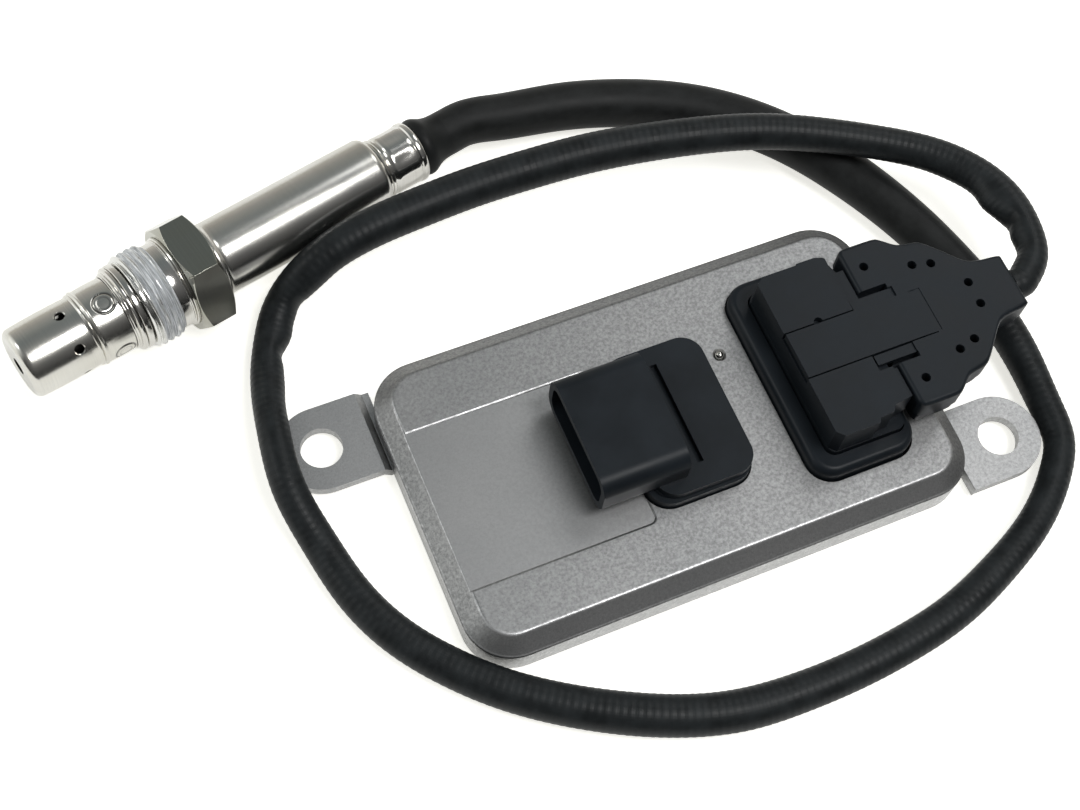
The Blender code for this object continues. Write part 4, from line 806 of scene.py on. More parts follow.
# %% The cast cover
HOUSING = (-53.0, 54.5, -32.35, 32.35)
HOUSING_CORNER = 9.8
WALL_BOTTOM = 0.3
RIM_Z = 6.9
PLATEAU_Z = 9.85
PLATEAU_INSET = 3.8
PLATEAU_CORNER = 6.0
LABEL_X1 = -11.0
LABEL_Y = (-17.6, 16.6)
LABEL_DEPTH = 0.25
HEADER = (-10.8, 11.5, -16.4, 15.5)
COLLAR = (21.3, 44.0, -22.6, 22.6)
VENT = (15.8, 10.4)
PLATE_THICK = 2.3
EAR_LEFT = (-64.7, 22.35)
EAR_RIGHT = (63.7, -24.3)
EAR_HALF = 8.85
EAR_HOLE = 4.22
EAR_RISE = 1.6
EAR_ROOT_STEP = 1.2


def housing_line(inset, radius):
    x0, x1, y0, y1 = HOUSING
    return round_rectangle(x0 + inset, x1 - inset, y0 + inset, y1 - inset, radius, 14)


def ear_line(centre, outward, wider, root, wall_x):
    """Straight-sided ear with a half circle round its bolt hole and a root that clears the corner."""
    cx, cy = centre
    r = EAR_HALF + wider
    corner = math.copysign(1.0, cy)
    step_x = wall_x - outward * (EAR_ROOT_STEP + wider)
    step_y = corner * (HOUSING[3] - HOUSING_CORNER - 0.15 + wider)
    line = [(cx + outward * r * math.cos(math.radians(a)), cy + corner * r * math.sin(math.radians(a)))
            for a in range(-90, 91, 6)]
    return line + [(step_x, cy + corner * r), (step_x, step_y), (root, step_y), (root, cy - corner * r)]


cover_layers = [(housing_line(0.15, HOUSING_CORNER - 0.15), WALL_BOTTOM),
                (housing_line(0, HOUSING_CORNER), WALL_BOTTOM + 0.2)]
for inset, rise in ((0, -0.5), (0.04, -0.32), (0.14, -0.15), (0.30, -0.04), (0.5, 0.06)):
    cover_layers.append((housing_line(inset, HOUSING_CORNER - inset), RIM_Z + rise))
for inset, drop in ((-0.55, 0.40), (-0.36, 0.24), (-0.18, 0.11), (0.05, 0.03), (0.35, 0.0)):
    cover_layers.append((housing_line(PLATEAU_INSET + inset, PLATEAU_CORNER - inset * 0.6), PLATEAU_Z - drop))
cover = layers("cover", cover_layers)
wall_inside = housing_line(2.0, HOUSING_CORNER - 2.0)
top_inside = housing_line(PLATEAU_INSET + 1.7, PLATEAU_CORNER - 1.7)
combine(cover, layers("inside tool", [(wall_inside, -1.0), (wall_inside, RIM_Z - 1.3),
                                      (top_inside, PLATEAU_Z - 1.6)]))
label_layers = []
for wider, rise in ((0.0, -LABEL_DEPTH), (0.10, -0.16), (0.24, -0.07), (0.42, -0.015), (0.62, 0.03),
                    (0.7, 1.0)):
    field_line = round_rectangle(-60.0, LABEL_X1 + wider, LABEL_Y[0] - wider, LABEL_Y[1] + wider,
                                 1.2 + wider, 8)
    label_layers.append((field_line, PLATEAU_Z + rise))
combine(cover, layers("label tool", label_layers))
for (x0, x1, y0, y1), right, front, corner in ((HEADER, GAP, GAP, 5.3), (COLLAR, 0.5, 0.5, 5.4)):
    window_line = round_rectangle(x0 - GAP, x1 + right, y0 - front, y1 + GAP, corner)
    combine(cover, slab("window tool", window_line, 4.0, 12.0))
combine(cover, pegs("vent tool", [VENT], PLATEAU_Z - 3.0, PLATEAU_Z + 1.0, 1.08))
vent_layers = [(round_rectangle(VENT[0] - r, VENT[0] + r, VENT[1] - r, VENT[1] + r, r, 10), PLATEAU_Z + rise)
               for r, rise in ((1.0, -0.42), (1.6, 0.18))]
combine(cover, layers("vent rim tool", vent_layers))
for centre, outward, wall_x, slot_top in ((EAR_LEFT, -1, HOUSING[0], PLATE_THICK + GAP),
                                          (EAR_RIGHT, 1, HOUSING[1], EAR_RISE + PLATE_THICK + GAP)):
    slot_line = ear_line(centre, outward, GAP, wall_x - outward * 6.0, wall_x)
    combine(cover, slab("slot tool", slot_line, -1.0, slot_top))
soften_edges(cover, lambda p: p.x < -49.0 and abs(p.z - PLATEAU_Z + LABEL_DEPTH) < 0.02, 0.13)
print("cover:", len(cover.data.polygons), "faces")

# %% [markdown]
# The base plate is pressed from sheet. Its two ears step up beside the wall, end in a half circle and
# carry a bolt hole. The step is drawn as a bent strip from the side, and the ear's outline is then cut
# from the strip, as a press tool would.

# %% The base plate and its ears
plate = slab("plate", housing_line(2.3, HOUSING_CORNER - 2.3), 0.0, PLATE_THICK)
for centre, outward, wall_x, foot, top in ((EAR_LEFT, -1, HOUSING[0], 0.4, 1.9),
                                           (EAR_RIGHT, 1, HOUSING[1], -1.7, -0.9)):
    cx, cy = centre
    inner = wall_x - outward * 3.6
    bend0, bend1 = wall_x + outward * foot, wall_x + outward * top
    far = cx + outward * (EAR_HALF + 1)
    under = [(inner, 0.0), (bend0, 0.0), (bend1, EAR_RISE), (far, EAR_RISE)]
    over = [(far, EAR_RISE + PLATE_THICK), (bend1 - outward * 0.2, EAR_RISE + PLATE_THICK),
            (bend0 - outward * 0.2, PLATE_THICK), (inner, PLATE_THICK)]
    bm = bmesh.new()
    near_side = [bm.verts.new((x, cy - EAR_HALF - 0.5, z)) for x, z in under + over]
    far_side = [bm.verts.new((x, cy + EAR_HALF + 0.5, z)) for x, z in under + over]
    bm.faces.new(near_side)
    bm.faces.new(far_side)
    join_rings(bm, near_side, far_side)
    strip = keep("ear strip", bm)
    press_line = ear_line(centre, outward, 0.0, inner - outward * 2.0, wall_x)
    combine(strip, slab("ear tool", press_line, -1.0, 6.0), "INTERSECT")
    combine(plate, strip, "UNION")
    combine(plate, pegs("hole tool", [centre], -1.0, 7.0, EAR_HOLE, 64))
ease_edges(plate, 0.2, 32)
print("plate:", len(plate.data.polygons), "faces")

# %% The vent ball in its seat
bm = bmesh.new()
bmesh.ops.create_uvsphere(bm, u_segments=40, v_segments=24, radius=0.95,
                          matrix=Matrix.Translation((*VENT, PLATEAU_Z - 0.25)))
vent_ball = keep("vent_ball_piece", bm)

# %% [markdown]
# ## Vehicle connector header
# A black moulding stands in the left window: a base, a thicker plate with a cross groove, and a shroud that
# opens to the left round five pins. The shroud is a bar of round-cornered outline along X, and its socket
# is the same outline made smaller by the wall.

# %% The header
SHROUD = (-21.0, -3.0)
SHROUD_HALF_Y = 12.9
SHROUD_Z = (11.0, 22.0)
SHROUD_CORNER = 3.6
SHROUD_WALL = 1.5
SOCKET_DEPTH = 15.0
HEADER_PLATE_Z = 14.3
FLANGE_Z = (5.9, 7.3)
header = slab("header", round_rectangle(*HEADER, 5.0), FLANGE_Z[0] + 0.5, 12.0)
x0, x1, y0, y1 = HEADER
low_line = round_rectangle(x0 + 1.2, x1 - 0.3, y0 + 0.9, y1 - 0.6, 4.2)
top_line = round_rectangle(x0 + 1.5, x1 - 0.05, y0 + 0.6, y1 - 0.3, 4.5)
plate_layers = [(low_line, 11.6), (low_line, 12.4), (top_line, 12.5), (top_line, HEADER_PLATE_Z)]
combine(header, layers("plate blank", plate_layers), "UNION")
flange_line = round_rectangle(-12.7, 13.4, -18.3, 17.4, 6.5)
combine(header, slab("flange blank", flange_line, *FLANGE_Z), "UNION")
shroud_line = round_rectangle(-SHROUD_HALF_Y, SHROUD_HALF_Y, *SHROUD_Z, SHROUD_CORNER)
combine(header, bar("shroud blank", *SHROUD, shroud_line), "UNION")
socket_half = SHROUD_HALF_Y - SHROUD_WALL
socket_line = round_rectangle(-socket_half, socket_half, SHROUD_Z[0] + SHROUD_WALL,
                              SHROUD_Z[1] - SHROUD_WALL, SHROUD_CORNER - SHROUD_WALL + 0.3)
combine(header, bar("socket tool", SHROUD[0] - 1, SHROUD[0] + SOCKET_DEPTH, socket_line))
combine(header, block("groove tool", 0.0, 1.4, -10.9, 11.3, 12.9, 16.0))
ease_edges(header, 0.3, 38)
print("header:", len(header.data.polygons), "faces")

# %% [markdown]
# ## Sensor header, plug and back cover
# The right window holds a collar with a fat rounded rim. The plug sits in it, and its back cover reaches
# over the housing's edge: a shouldered outline that narrows to the cable's neck. A long tongue of the
# cover lies in a channel of the plug, with a latch arm at each side.

# %% The collar
PLUG = (25.2, 42.3)
PLUG_HALF_Y = 18.7
PLUG_TOP = 21.6
COLLAR_Z = 13.2
COLLAR_RIM_WIDE = 1.5
COLLAR_RIM_TALL = 1.7
x0, x1, y0, y1 = COLLAR
collar_layers = [(round_rectangle(x0, x1, y0, y1, 5.0, 12), FLANGE_Z[0] + 0.5)]
for k in range(8):
    a = math.radians(90 * k / 7)
    inset = COLLAR_RIM_WIDE * (1 - math.cos(a))
    rim_line = round_rectangle(x0 + inset, x1 - inset * 0.7, y0 + inset, y1 - inset, 5.0 - inset * 0.8, 12)
    collar_layers.append((rim_line, COLLAR_Z - COLLAR_RIM_TALL + COLLAR_RIM_TALL * math.sin(a)))
collar = layers("collar", collar_layers)
flange_line = round_rectangle(x0 - 1.9, x1 + 2.1, y0 - 1.9, y1 + 1.9, 6.5)
combine(collar, slab("flange blank", flange_line, *FLANGE_Z), "UNION")
pocket_half = PLUG_HALF_Y + GAP
pocket_line = round_rectangle(PLUG[0] - GAP, PLUG[1] + GAP, -pocket_half, pocket_half, 2.2)
combine(collar, slab("pocket tool", pocket_line, 8.5, 16.0))
print("collar:", len(collar.data.polygons), "faces")

# %% The plug body
TONGUE_HALF_Y = 5.0
TONGUE_END = 54.4
tongue_z = PLUG_TOP - 1.7
channel_half = TONGUE_HALF_Y + GAP
plug_line = [(PLUG[0] + 0.05, -17.2), (26.6, -18.6), (34.2, -18.6), (34.8, -17.7), (38.0, -17.4),
             (38.8, -16.2), (42.2, -15.8), (42.2, 14.6), (41.6, 16.6), (40.3, 18.0), (38.6, 18.6),
             (34.6, 18.6), (34.3, 18.3), (26.9, 18.3), (PLUG[0] + 0.05, 17.0)]
plug = slab("plug", plug_line, 12.4, PLUG_TOP)
foot_line = round_rectangle(*PLUG, -PLUG_HALF_Y, PLUG_HALF_Y, 1.9)
combine(plug, slab("foot blank", foot_line, 11.8, 14.2), "UNION")
combine(plug, block("channel tool", 24.0, 44.0, -channel_half, channel_half, tongue_z - GAP, PLUG_TOP + 1))
for x0, side0, side1 in ((40.6, TONGUE_HALF_Y, 20.0), (39.3, -8.7, -TONGUE_HALF_Y)):
    combine(plug, block("ledge tool", x0, 44.0, side0, side1, PLUG_TOP - 1.9, PLUG_TOP + 1))
for side0, side1 in ((-15.4, -8.9), (7.4, 14.4)):
    combine(plug, block("ledge blank", 38.0, 43.3, side0, side1, 13.0, PLUG_TOP - 1.0), "UNION")
combine(plug, pegs("notch tool", [(32.9, channel_half)], PLUG_TOP - 1.6, PLUG_TOP + 1.4, 0.95, 24))
ease_edges(plug, 0.28, 30)
print("plug:", len(plug.data.polygons), "faces")

# %% The back cover's two halves
COVER_X0 = 43.5
COVER_Z0 = 13.5
PART_Z = 16.0
NECK_END = 75.0
NECK_HALF_Y = 6.2
COVER_CORNER = 1.6
half_line = [(COVER_X0, 17.0), (COVER_X0 + 0.45, 18.15), (COVER_X0 + COVER_CORNER, 18.6), (52.2, 18.6),
             (53.3, 17.9), (55.6, 15.8), (57.2, 15.3), (60.0, 14.9), (61.3, 14.1), (63.8, 11.4),
             (66.9, 7.9), (68.3, 7.0), (70.4, 6.5), (NECK_END - 0.8, NECK_HALF_Y),
             (NECK_END, NECK_HALF_Y - 0.5)]


def rounded_line(points):
    """Cuts the corners of an open outline twice, leaving its two ends, so that it runs softly."""
    for _ in range(2):
        soft = [points[0]]
        for a, b in zip(points, points[1:]):
            pa, pb = Vector(a), Vector(b)
            reach = min(0.25, 1.2 / max((pb - pa).length, 0.01))
            soft += [tuple(pa.lerp(pb, reach)), tuple(pb.lerp(pa, reach))]
        points = soft + [points[-1]]
    return points


def back_line(inset):
    side = []
    for x, y in rounded_line(half_line):
        frontness = max(0.0, 1 - (x - COVER_X0) / COVER_CORNER)
        side.append((min(x + inset * frontness, NECK_END - inset), y - inset * (1 - frontness)))
    return [(x, -y) for x, y in side] + list(reversed(side))


def rolled_rim(radius, top, foot, foot_inset):
    """Layers of the back cover's outline: a small step at the foot and a round rim at the top."""
    turns = [math.radians(90 * k / 6) for k in range(7)]
    foot_layers = [(back_line(foot_inset + 0.25), foot), (back_line(foot_inset), foot + 0.25)]
    return foot_layers + [(back_line(foot_inset + radius * (1 - math.cos(a))),
                           top - radius + radius * math.sin(a)) for a in turns]


back_upper = layers("back_upper", rolled_rim(0.9, PLUG_TOP, PART_Z + 0.15, 0.0))
for blank in (("tongue blank", 25.55, 50.0, -TONGUE_HALF_Y, TONGUE_HALF_Y, tongue_z, PLUG_TOP),
              ("arm blank", 40.9, 47.0, TONGUE_HALF_Y - 0.5, 7.2, PLUG_TOP - 1.5, PLUG_TOP - 0.5),
              ("arm blank", 39.8, 47.0, -7.4, -channel_half, PLUG_TOP - 1.5, PLUG_TOP - 0.4)):
    combine(back_upper, block(*blank), "UNION")
for tool in ((42.0, 50.4, TONGUE_HALF_Y, 7.3, PLUG_TOP - 0.5), (42.0, 49.5, 7.2, 8.3, PLUG_TOP - 3.0),
             (42.0, 48.4, -7.5, -channel_half, PLUG_TOP - 0.4), (42.0, 48.5, -8.6, -7.4, PLUG_TOP - 3.0),
             (39.0, TONGUE_END, -channel_half, -TONGUE_HALF_Y, PLUG_TOP - 1.6),
             (52.9, 55.4, -TONGUE_HALF_Y, TONGUE_HALF_Y, PLUG_TOP - 0.15)):
    combine(back_upper, block("slot tool", *tool, PLUG_TOP + 1.0))
core_holes = [(47.2, 13.2), (56.6, 10.1), (60.4, 9.1), (65.5, 2.55)]
core_holes += [(x, -y) for x, y in core_holes]
combine(back_upper, pegs("core tool", core_holes, PLUG_TOP - 3.0, PLUG_TOP + 1.0, 0.95, 28))
back_lower = layers("back_lower", rolled_rim(0.3, PART_Z - 0.15, COVER_Z0, 0.45))
print("back cover: %d and %d faces" % (len(back_upper.data.polygons), len(back_lower.data.polygons)))

# %% [markdown]
# ## Probe
# Everything on the probe is turned about one axis, so each piece is a profile of distance along the axis
# and radius, spun in fine steps and then laid on the axis. The cap's holes and dimples are cut afterwards.


# %% Turning on the probe's axis
probe_frame = Matrix.Translation(Vector(PROBE_POINT)) @ probe_turn


def on_axis(name, bm, smooth_angle=SMOOTH_ANGLE):
    """Lays a body that is made along X on the probe's axis, and keeps it."""
    bmesh.ops.transform(bm, matrix=probe_frame, verts=bm.verts)
    return keep(name, bm, smooth_angle)


def turned_ring(bm, s, radii):
    """Points round the axis at station s, one for each radius."""
    turns = [2 * math.pi * i / len(radii) for i in range(len(radii))]
    return [bm.verts.new((s, r * math.cos(a), r * math.sin(a))) for r, a in zip(radii, turns)]


def spin(name, profile, facets=96):
    """Turns a profile of (along, radius) and lays it on the probe's axis."""
    bm = bmesh.new()
    rings = [turned_ring(bm, s, [r] * facets if r > 1e-6 else [0.0]) for s, r in profile]
    for a, b in zip(rings, rings[1:] + rings[:1]):
        if len(a) > 1 and len(b) > 1:
            join_rings(bm, a, b)
        elif len(a) > 1:
            for first, second in zip(a, a[1:] + a[:1]):
                bm.faces.new((first, second, b[0]))
        elif len(b) > 1:
            for first, second in zip(b, b[1:] + b[:1]):
                bm.faces.new((a[0], second, first))
    return on_axis(name, bm, 28)


def around(name, s, radius, angles, size0, size1, depth):
    """Round pegs that stand square on the probe's skin, as tools for its holes and dimples."""
    bm = bmesh.new()
    for angle in angles:
        a = math.radians(angle)
        way = Vector((0.0, -math.sin(a), math.cos(a)))
        upright = way.to_track_quat("Z", "Y").to_matrix().to_4x4()
        place = Matrix.Translation(Vector((s, 0, 0)) + way * radius) @ upright
        bmesh.ops.create_cone(bm, cap_ends=True, segments=28, radius1=size0, radius2=size1,
                              depth=depth, matrix=place)
    return on_axis(name, bm)


def quarter(s0, r0, s1, r1, steps, bulge_at_start):
    points = []
    for i in range(1, steps):
        a = math.pi / 2 * i / steps
        if bulge_at_start:
            points.append((s0 + (s1 - s0) * (1 - math.cos(a)), r0 + (r1 - r0) * math.sin(a)))
        else:
            points.append((s0 + (s1 - s0) * math.sin(a), r0 + (r1 - r0) * (1 - math.cos(a))))
    return points


# %% [markdown]
# ### The protection cap
# The cap is a drawn steel tube with a rounded tip, a pair of rolled beads and six gas holes. Behind the
# beads lie marks of a press: shallow rings with a flat button left in the middle. They are modelled in the
# mesh itself, where each point near a mark's centre moves along the radius by a ring-shaped amount. For
# that the wall needs more rings than its profile gives, so the profile is stepped finely there.
# The ring's groove and the button's edge are also darkened in colour, a painted shade in those hollows.

# %% The protection cap
TIP_S = -59.8
CAP_END = -38.5
CAP_RADIUS = 7.45
SHELL_RADIUS = 7.85
HOLE_S = -49.2
HOLE_ANGLES = [-9 + 60 * k for k in range(6)]
DIMPLE_S = -41.0
DIMPLE_ANGLES = [8 + 90 * k for k in range(4)]


def bell(x, centre, reach):
    """1 at the centre, and softly down to 0 on both sides of it."""
    return math.exp(-((x - centre) / reach) ** 2)


def dimpled(piece):
    """Presses ring marks into the outer skin of the finely spun wall and keeps a painted shade for their
    hollows.
    """
    back = probe_frame.inverted()
    painted_groove_shade = [0.0] * len(piece.data.vertices)
    for vert in piece.data.vertices:
        p = back @ (vert.co / MM)
        r = math.hypot(p.y, p.z)
        if r < SHELL_RADIUS - 0.3 or abs(p.x - DIMPLE_S) > 3.3:
            continue
        angle = math.degrees(math.atan2(-p.y, p.z))
        for centre in DIMPLE_ANGLES:
            turn = (angle - centre + 180) % 360 - 180
            away = math.hypot(p.x - DIMPLE_S, math.radians(turn) * r)
            if away > 3.3:
                continue
            button = 0.07 / (1 + math.exp(min((away - 1.27) / 0.05, 50)))
            groove = -0.16 * bell(away, 2.12, 0.17) + 0.04 * bell(away, 1.62, 0.22) - button
            # Painted shade: the ring's groove and the button's edge are darkened in colour.
            painted_groove_shade[vert.index] = 0.85 * bell(away, 2.14, 0.20) + 0.45 * bell(away, 1.28, 0.13)
            k = (r + groove) / r
            vert.co = (probe_frame @ Vector((p.x, p.y * k, p.z * k))) * MM
            break
    piece.data.attributes.new("painted_groove_shade", "FLOAT", "POINT").data.foreach_set("value", painted_groove_shade)
    return piece


cap = spin("cap", [(TIP_S, 1.8), (TIP_S + 0.02, 2.2), (TIP_S, 2.6), (TIP_S, 5.7)]
           + quarter(TIP_S, 5.7, TIP_S + 1.6, 7.34, 10, True) + [
    (TIP_S + 1.6, 7.34), (TIP_S + 2.6, 7.4), (-55.0, 7.46), (-52.0, 7.5), (-49.5, 7.5), (-47.5, 7.46),
    (-46.2, 7.4), (-45.95, 7.46),
    (-45.8, 7.66), (-45.6, 7.74), (-45.4, 7.66), (-45.28, 7.56), (-45.16, 7.68), (-45.0, 7.9), (-44.8, 7.98),
    (-44.62, 7.93), (-44.5, 7.84)] + [
    (-44.3 + 0.075 * k, SHELL_RADIUS - 0.0012 * (k - 40) ** 2 / 20) for k in range(77)] + [
    (CAP_END, SHELL_RADIUS - 0.1), (CAP_END, SHELL_RADIUS - 0.55), (-44.7, SHELL_RADIUS - 0.55),
    (-45.7, CAP_RADIUS - 0.55), (TIP_S + 1.8, CAP_RADIUS - 0.6), (TIP_S + 0.55, 5.6),
    (TIP_S + 0.55, 1.8)], 384)
combine(cap, around("gas hole tool", HOLE_S, 7.2, HOLE_ANGLES, 0.97, 0.97, 3.0))
combine(cap, around("gas hole rim tool", HOLE_S, CAP_RADIUS, HOLE_ANGLES, 0.87, 1.37, 0.5))
dimpled(cap)
print("cap:", len(cap.data.polygons), "faces")

# %% Shell and sealing ring
shell = spin("shell", [
    (-43.8, 5.4), (-43.8, 6.7), (-43.4, 7.0), (-38.4, 7.0), (-38.4, 7.95), (-38.3, 8.08), (-38.16, 8.1),
    (-38.06, 8.04), (-37.98, 8.12), (-37.86, 8.3), (-37.7, 8.36), (-37.58, 8.34), (-37.5, 8.5), (-37.4, 8.8),
    (-37.24, 9.0), (-37.04, 9.06), (-36.86, 9.06), (-36.72, 9.0), (-36.64, 8.86), (-36.6, 8.6),
    (-36.6, 7.4), (-18.3, 7.4), (-17.9, 7.05), (-10.0, 7.05), (-10.0, 4.9), (-36.5, 4.9), (-36.5, 3.4),
    (-38.5, 3.4), (-38.5, 5.4)])
ring = spin("ring", [(-36.55, 7.75), (-36.55, 8.72), (-36.46, 8.95), (-36.3, 9.1), (-36.1, 9.15),
                     (-35.5, 9.15), (-35.3, 9.1), (-35.16, 8.95), (-35.1, 8.72), (-35.1, 7.75)])

# %% [markdown]
# ### The captive nut
# The nut has a thread of 1.5 mm pitch, a polished neck and a hexagon with turned corners. The thread is a
# real helix: a grid of points whose radius depends on the way along less the turn, so the groove climbs
# round the nut. It runs out softly at both ends.

# %% The thread
NUT_S0 = -34.8
HEX_S0 = -25.3
NUT_S1 = -18.0
HEX_FLATS = 22.0
HEX_ROLL = 3.7
THREAD_PITCH = 1.5
FIRST_CREST = -33.9
THREAD_END = -28.6
NECK_S0 = -28.3
BORE = 7.7


def thread_radius(s, turn):
    """Outer radius of the thread at a way along and a turn from 0 to 1."""
    phase = ((s - FIRST_CREST) / THREAD_PITCH - turn) % 1.0
    groove = abs(phase - 0.5) * 2
    root = 9.2 + 0.32 * min(1.0, max(0.0, (s - PASTE_START) / 1.5))
    r = root + (THREAD_RADIUS - root) * min(1.0, max(0.0, (groove - 0.12) / 0.70))
    lead_in = 9.38 + max(0.0, (s - NUT_S0) * 1.1)
    run_out = 9.12 + max(0.0, (THREAD_END - s) * 1.6)
    return max(min(r, lead_in, run_out), 9.1)


def thread_body():
    facets, rows = 120, 100
    bm = bmesh.new()
    rings = [turned_ring(bm, NUT_S0, [BORE] * facets)]
    for row in range(rows + 1):
        s = NUT_S0 + (NECK_S0 - NUT_S0) * row / rows
        rings.append(turned_ring(bm, s, [thread_radius(s, i / facets) for i in range(facets)]))
    rings.append(turned_ring(bm, NECK_S0, [BORE] * facets))
    for a, b in zip(rings, rings[1:] + rings[:1]):
        join_rings(bm, a, b)
    return on_axis("thread", bm, 60)


thread = thread_body()
neck = spin("neck", [(NECK_S0, BORE), (NECK_S0, 9.02), (NECK_S0 + 0.06, 9.1), (-26.45, 9.12), (-26.3, 9.2),
                     (-26.22, 9.42), (-26.1, 9.5), (-25.98, 9.42), (-25.92, 9.3), (-25.86, 9.42),
                     (-25.76, 9.62), (-25.62, 9.7), (-25.5, 9.66), (-25.42, 9.5), (HEX_S0 + 0.3, 9.5),
                     (HEX_S0 + 0.3, BORE)], 128)
print("thread and neck:", len(thread.data.polygons) + len(neck.data.polygons), "faces")

# %% The hexagon
corner_radius = HEX_FLATS / math.sqrt(3)
face_radius = HEX_FLATS / 2 - 0.15
blank_radius = 13.2
chamfer = (blank_radius - face_radius) * math.tan(math.radians(30))
turns = [math.radians(60 * i + HEX_ROLL) for i in range(6)]
bm = bmesh.new()
ends = [[bm.verts.new((s, corner_radius * math.cos(a), corner_radius * math.sin(a))) for a in turns]
        for s in (HEX_S0, NUT_S1)]
bm.faces.new(ends[0])
bm.faces.new(ends[1])
join_rings(bm, *ends)
hexagon = on_axis("hexagon", bm)
combine(hexagon, spin("chamfer blank", [
    (HEX_S0 - 0.05, 0), (HEX_S0 - 0.05, face_radius), (HEX_S0 + chamfer, blank_radius),
    (NUT_S1 - chamfer, blank_radius), (NUT_S1 + 0.05, face_radius), (NUT_S1 + 0.05, 0)], 144), "INTERSECT")
bore_profile = [(NUT_S0 - 1, 0), (NUT_S0 - 1, BORE), (NUT_S1 + 1, BORE), (NUT_S1 + 1, 0)]
combine(hexagon, spin("bore tool", bore_profile))
ease_edges(hexagon, 0.18, 25)
print("hexagon:", len(hexagon.data.polygons), "faces")

# %% Protective sleeve, end collar and boot
TUBE_RADIUS = 7.8
COLLAR_RADIUS = 6.45
tube = spin("tube", [(-17.55, 7.35), (-17.6, 8.2), (-17.55, 8.4), (-17.4, 8.52), (-17.15, 8.55), (-16.9, 8.45),
                     (-16.65, 8.2), (-16.35, 7.95), (-16.05, 7.84), (-15.5, TUBE_RADIUS), (21.3, TUBE_RADIUS)]
            + quarter(21.3, TUBE_RADIUS, 22.95, 6.4, 10, False) + [
    (23.0, 6.4), (23.0, 6.0), (22.4, 6.0), (21.3, 7.35)], 128)
end_collar = spin("end_collar", [
    (23.3, 5.9), (23.3, 6.05), (23.55, 6.15), (23.7, 6.38), (23.9, 6.52), (24.2, 6.52), (24.38, 6.38),
    (24.5, 6.15), (24.9, 6.12), (25.12, 6.25), (25.3, 6.38), (25.55, COLLAR_RADIUS)] + [
    (25.55 + 0.51 * k, COLLAR_RADIUS) for k in range(1, 11)] + [
    (30.85, 6.4), (30.97, 6.28), (31.15, 6.28), (31.27, 6.4), (31.4, 6.56), (31.6, 6.62), (32.15, 6.62),
    (32.4, 6.56), (32.6, 6.4), (32.6, 5.9)], 128)


def crimped(piece):
    """Presses eight shallow flats into the collar's middle band, as crimping jaws do."""
    back = probe_frame.inverted()
    for vert in piece.data.vertices:
        p = back @ (vert.co / MM)
        r = math.hypot(p.y, p.z)
        if r < 6.0 or not 25.2 < p.x < 30.8:
            continue
        turn = math.atan2(-p.y, p.z) + 0.2
        flat = 0.16 * (0.5 + 0.5 * math.cos(8 * turn)) ** 2 * math.sin(math.pi * (p.x - 25.2) / 5.6) ** 0.6
        k = (r - flat) / r
        vert.co = (probe_frame @ Vector((p.x, p.y * k, p.z * k))) * MM
    return piece


crimped(end_collar)
boot = spin("boot", [
    (32.65, 3.4), (32.65, 5.6), (33.1, 5.9), (33.5, 6.12), (34.1, 6.28), (34.7, 6.26), (35.3, 6.08),
    (35.9, 5.78), (36.6, 5.45), (37.4, 5.16), (38.3, 4.96), (39.2, 4.88), (BOOT_END, 4.85), (BOOT_END, 3.4)])
print("tube, collar and boot ready")

# %% [markdown]
# ## Dressing the frame
# Each made piece gets its finish, rides on its body and stands for the frame's node. The frame's own
# nodes that stay, such as pins, seals and the board, only get a finer finish.

# %% Pieces on their bodies
dressing = [(cover, cast_skin, "sensor", "cast_aluminium", "housing_cover"),
            (plate, plate_skin, "sensor", "plate_aluminium", "base_plate"),
            (vent_ball, polished_steel, "sensor", "vent_steel", "vent_ball"),
            (header, black_moulding, "sensor", "black_plastic", "vehicle_header"),
            (collar, black_moulding, "sensor", "black_plastic", "sensor_header"),
            (plug, black_moulding, "sensor", "black_plastic", "plug_body"),
            (back_upper, black_moulding, "sensor", "black_plastic", "plug_cover_upper"),
            (back_lower, black_moulding, "sensor", "black_plastic", "plug_cover_lower"),
            (cap, cap_steel, "sensor", "stainless_steel", "outer_protection_cap"),
            (shell, polished_steel, "sensor", "stainless_steel", "probe_shell"),
            (ring, polished_steel, "sensor", "stainless_steel", "sealing_ring"),
            (thread, thread_paste, "nut", "nut_steel", "mounting_nut"),
            (neck, polished_steel, "nut", "nut_steel", None),
            (hexagon, nut_steel, "nut", "nut_steel", None),
            (tube, drawn_steel, "sensor", "stainless_steel", "protective_sleeve"),
            (end_collar, polished_steel, "sensor", "stainless_steel", "crimp_collar"),
            (boot, boot_rubber, "sensor", "black_rubber", "cable_boot")]
for piece in (cover, plate, header, collar, plug, back_upper, back_lower, hexagon):
    shade_evenly(piece)
for piece, finish, body, slot_name, node in dressing:
    piece.data.materials.clear()
    piece.data.materials.append(finish)
    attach(piece, body)
    if node:
        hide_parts(node)
# The cap's inner skin and the walls of its gas holes get the near-black finish, a painted shade inside the
# cap.
HOLE_SHADE_SLOT = 1
cap.data.materials.append(painted_hole_shade)
to_probe = probe_frame.inverted()
for face in cap.data.polygons:
    p = to_probe @ (face.center / MM)
    out = to_probe.to_3x3() @ face.normal
    outward = (out.y * p.y + out.z * p.z) / max(math.hypot(p.y, p.z), 0.1)
    if outward < -0.3 or (abs(p.x - HOLE_S) < 1.15 and outward < 0.4):
        face.material_index = HOLE_SHADE_SLOT
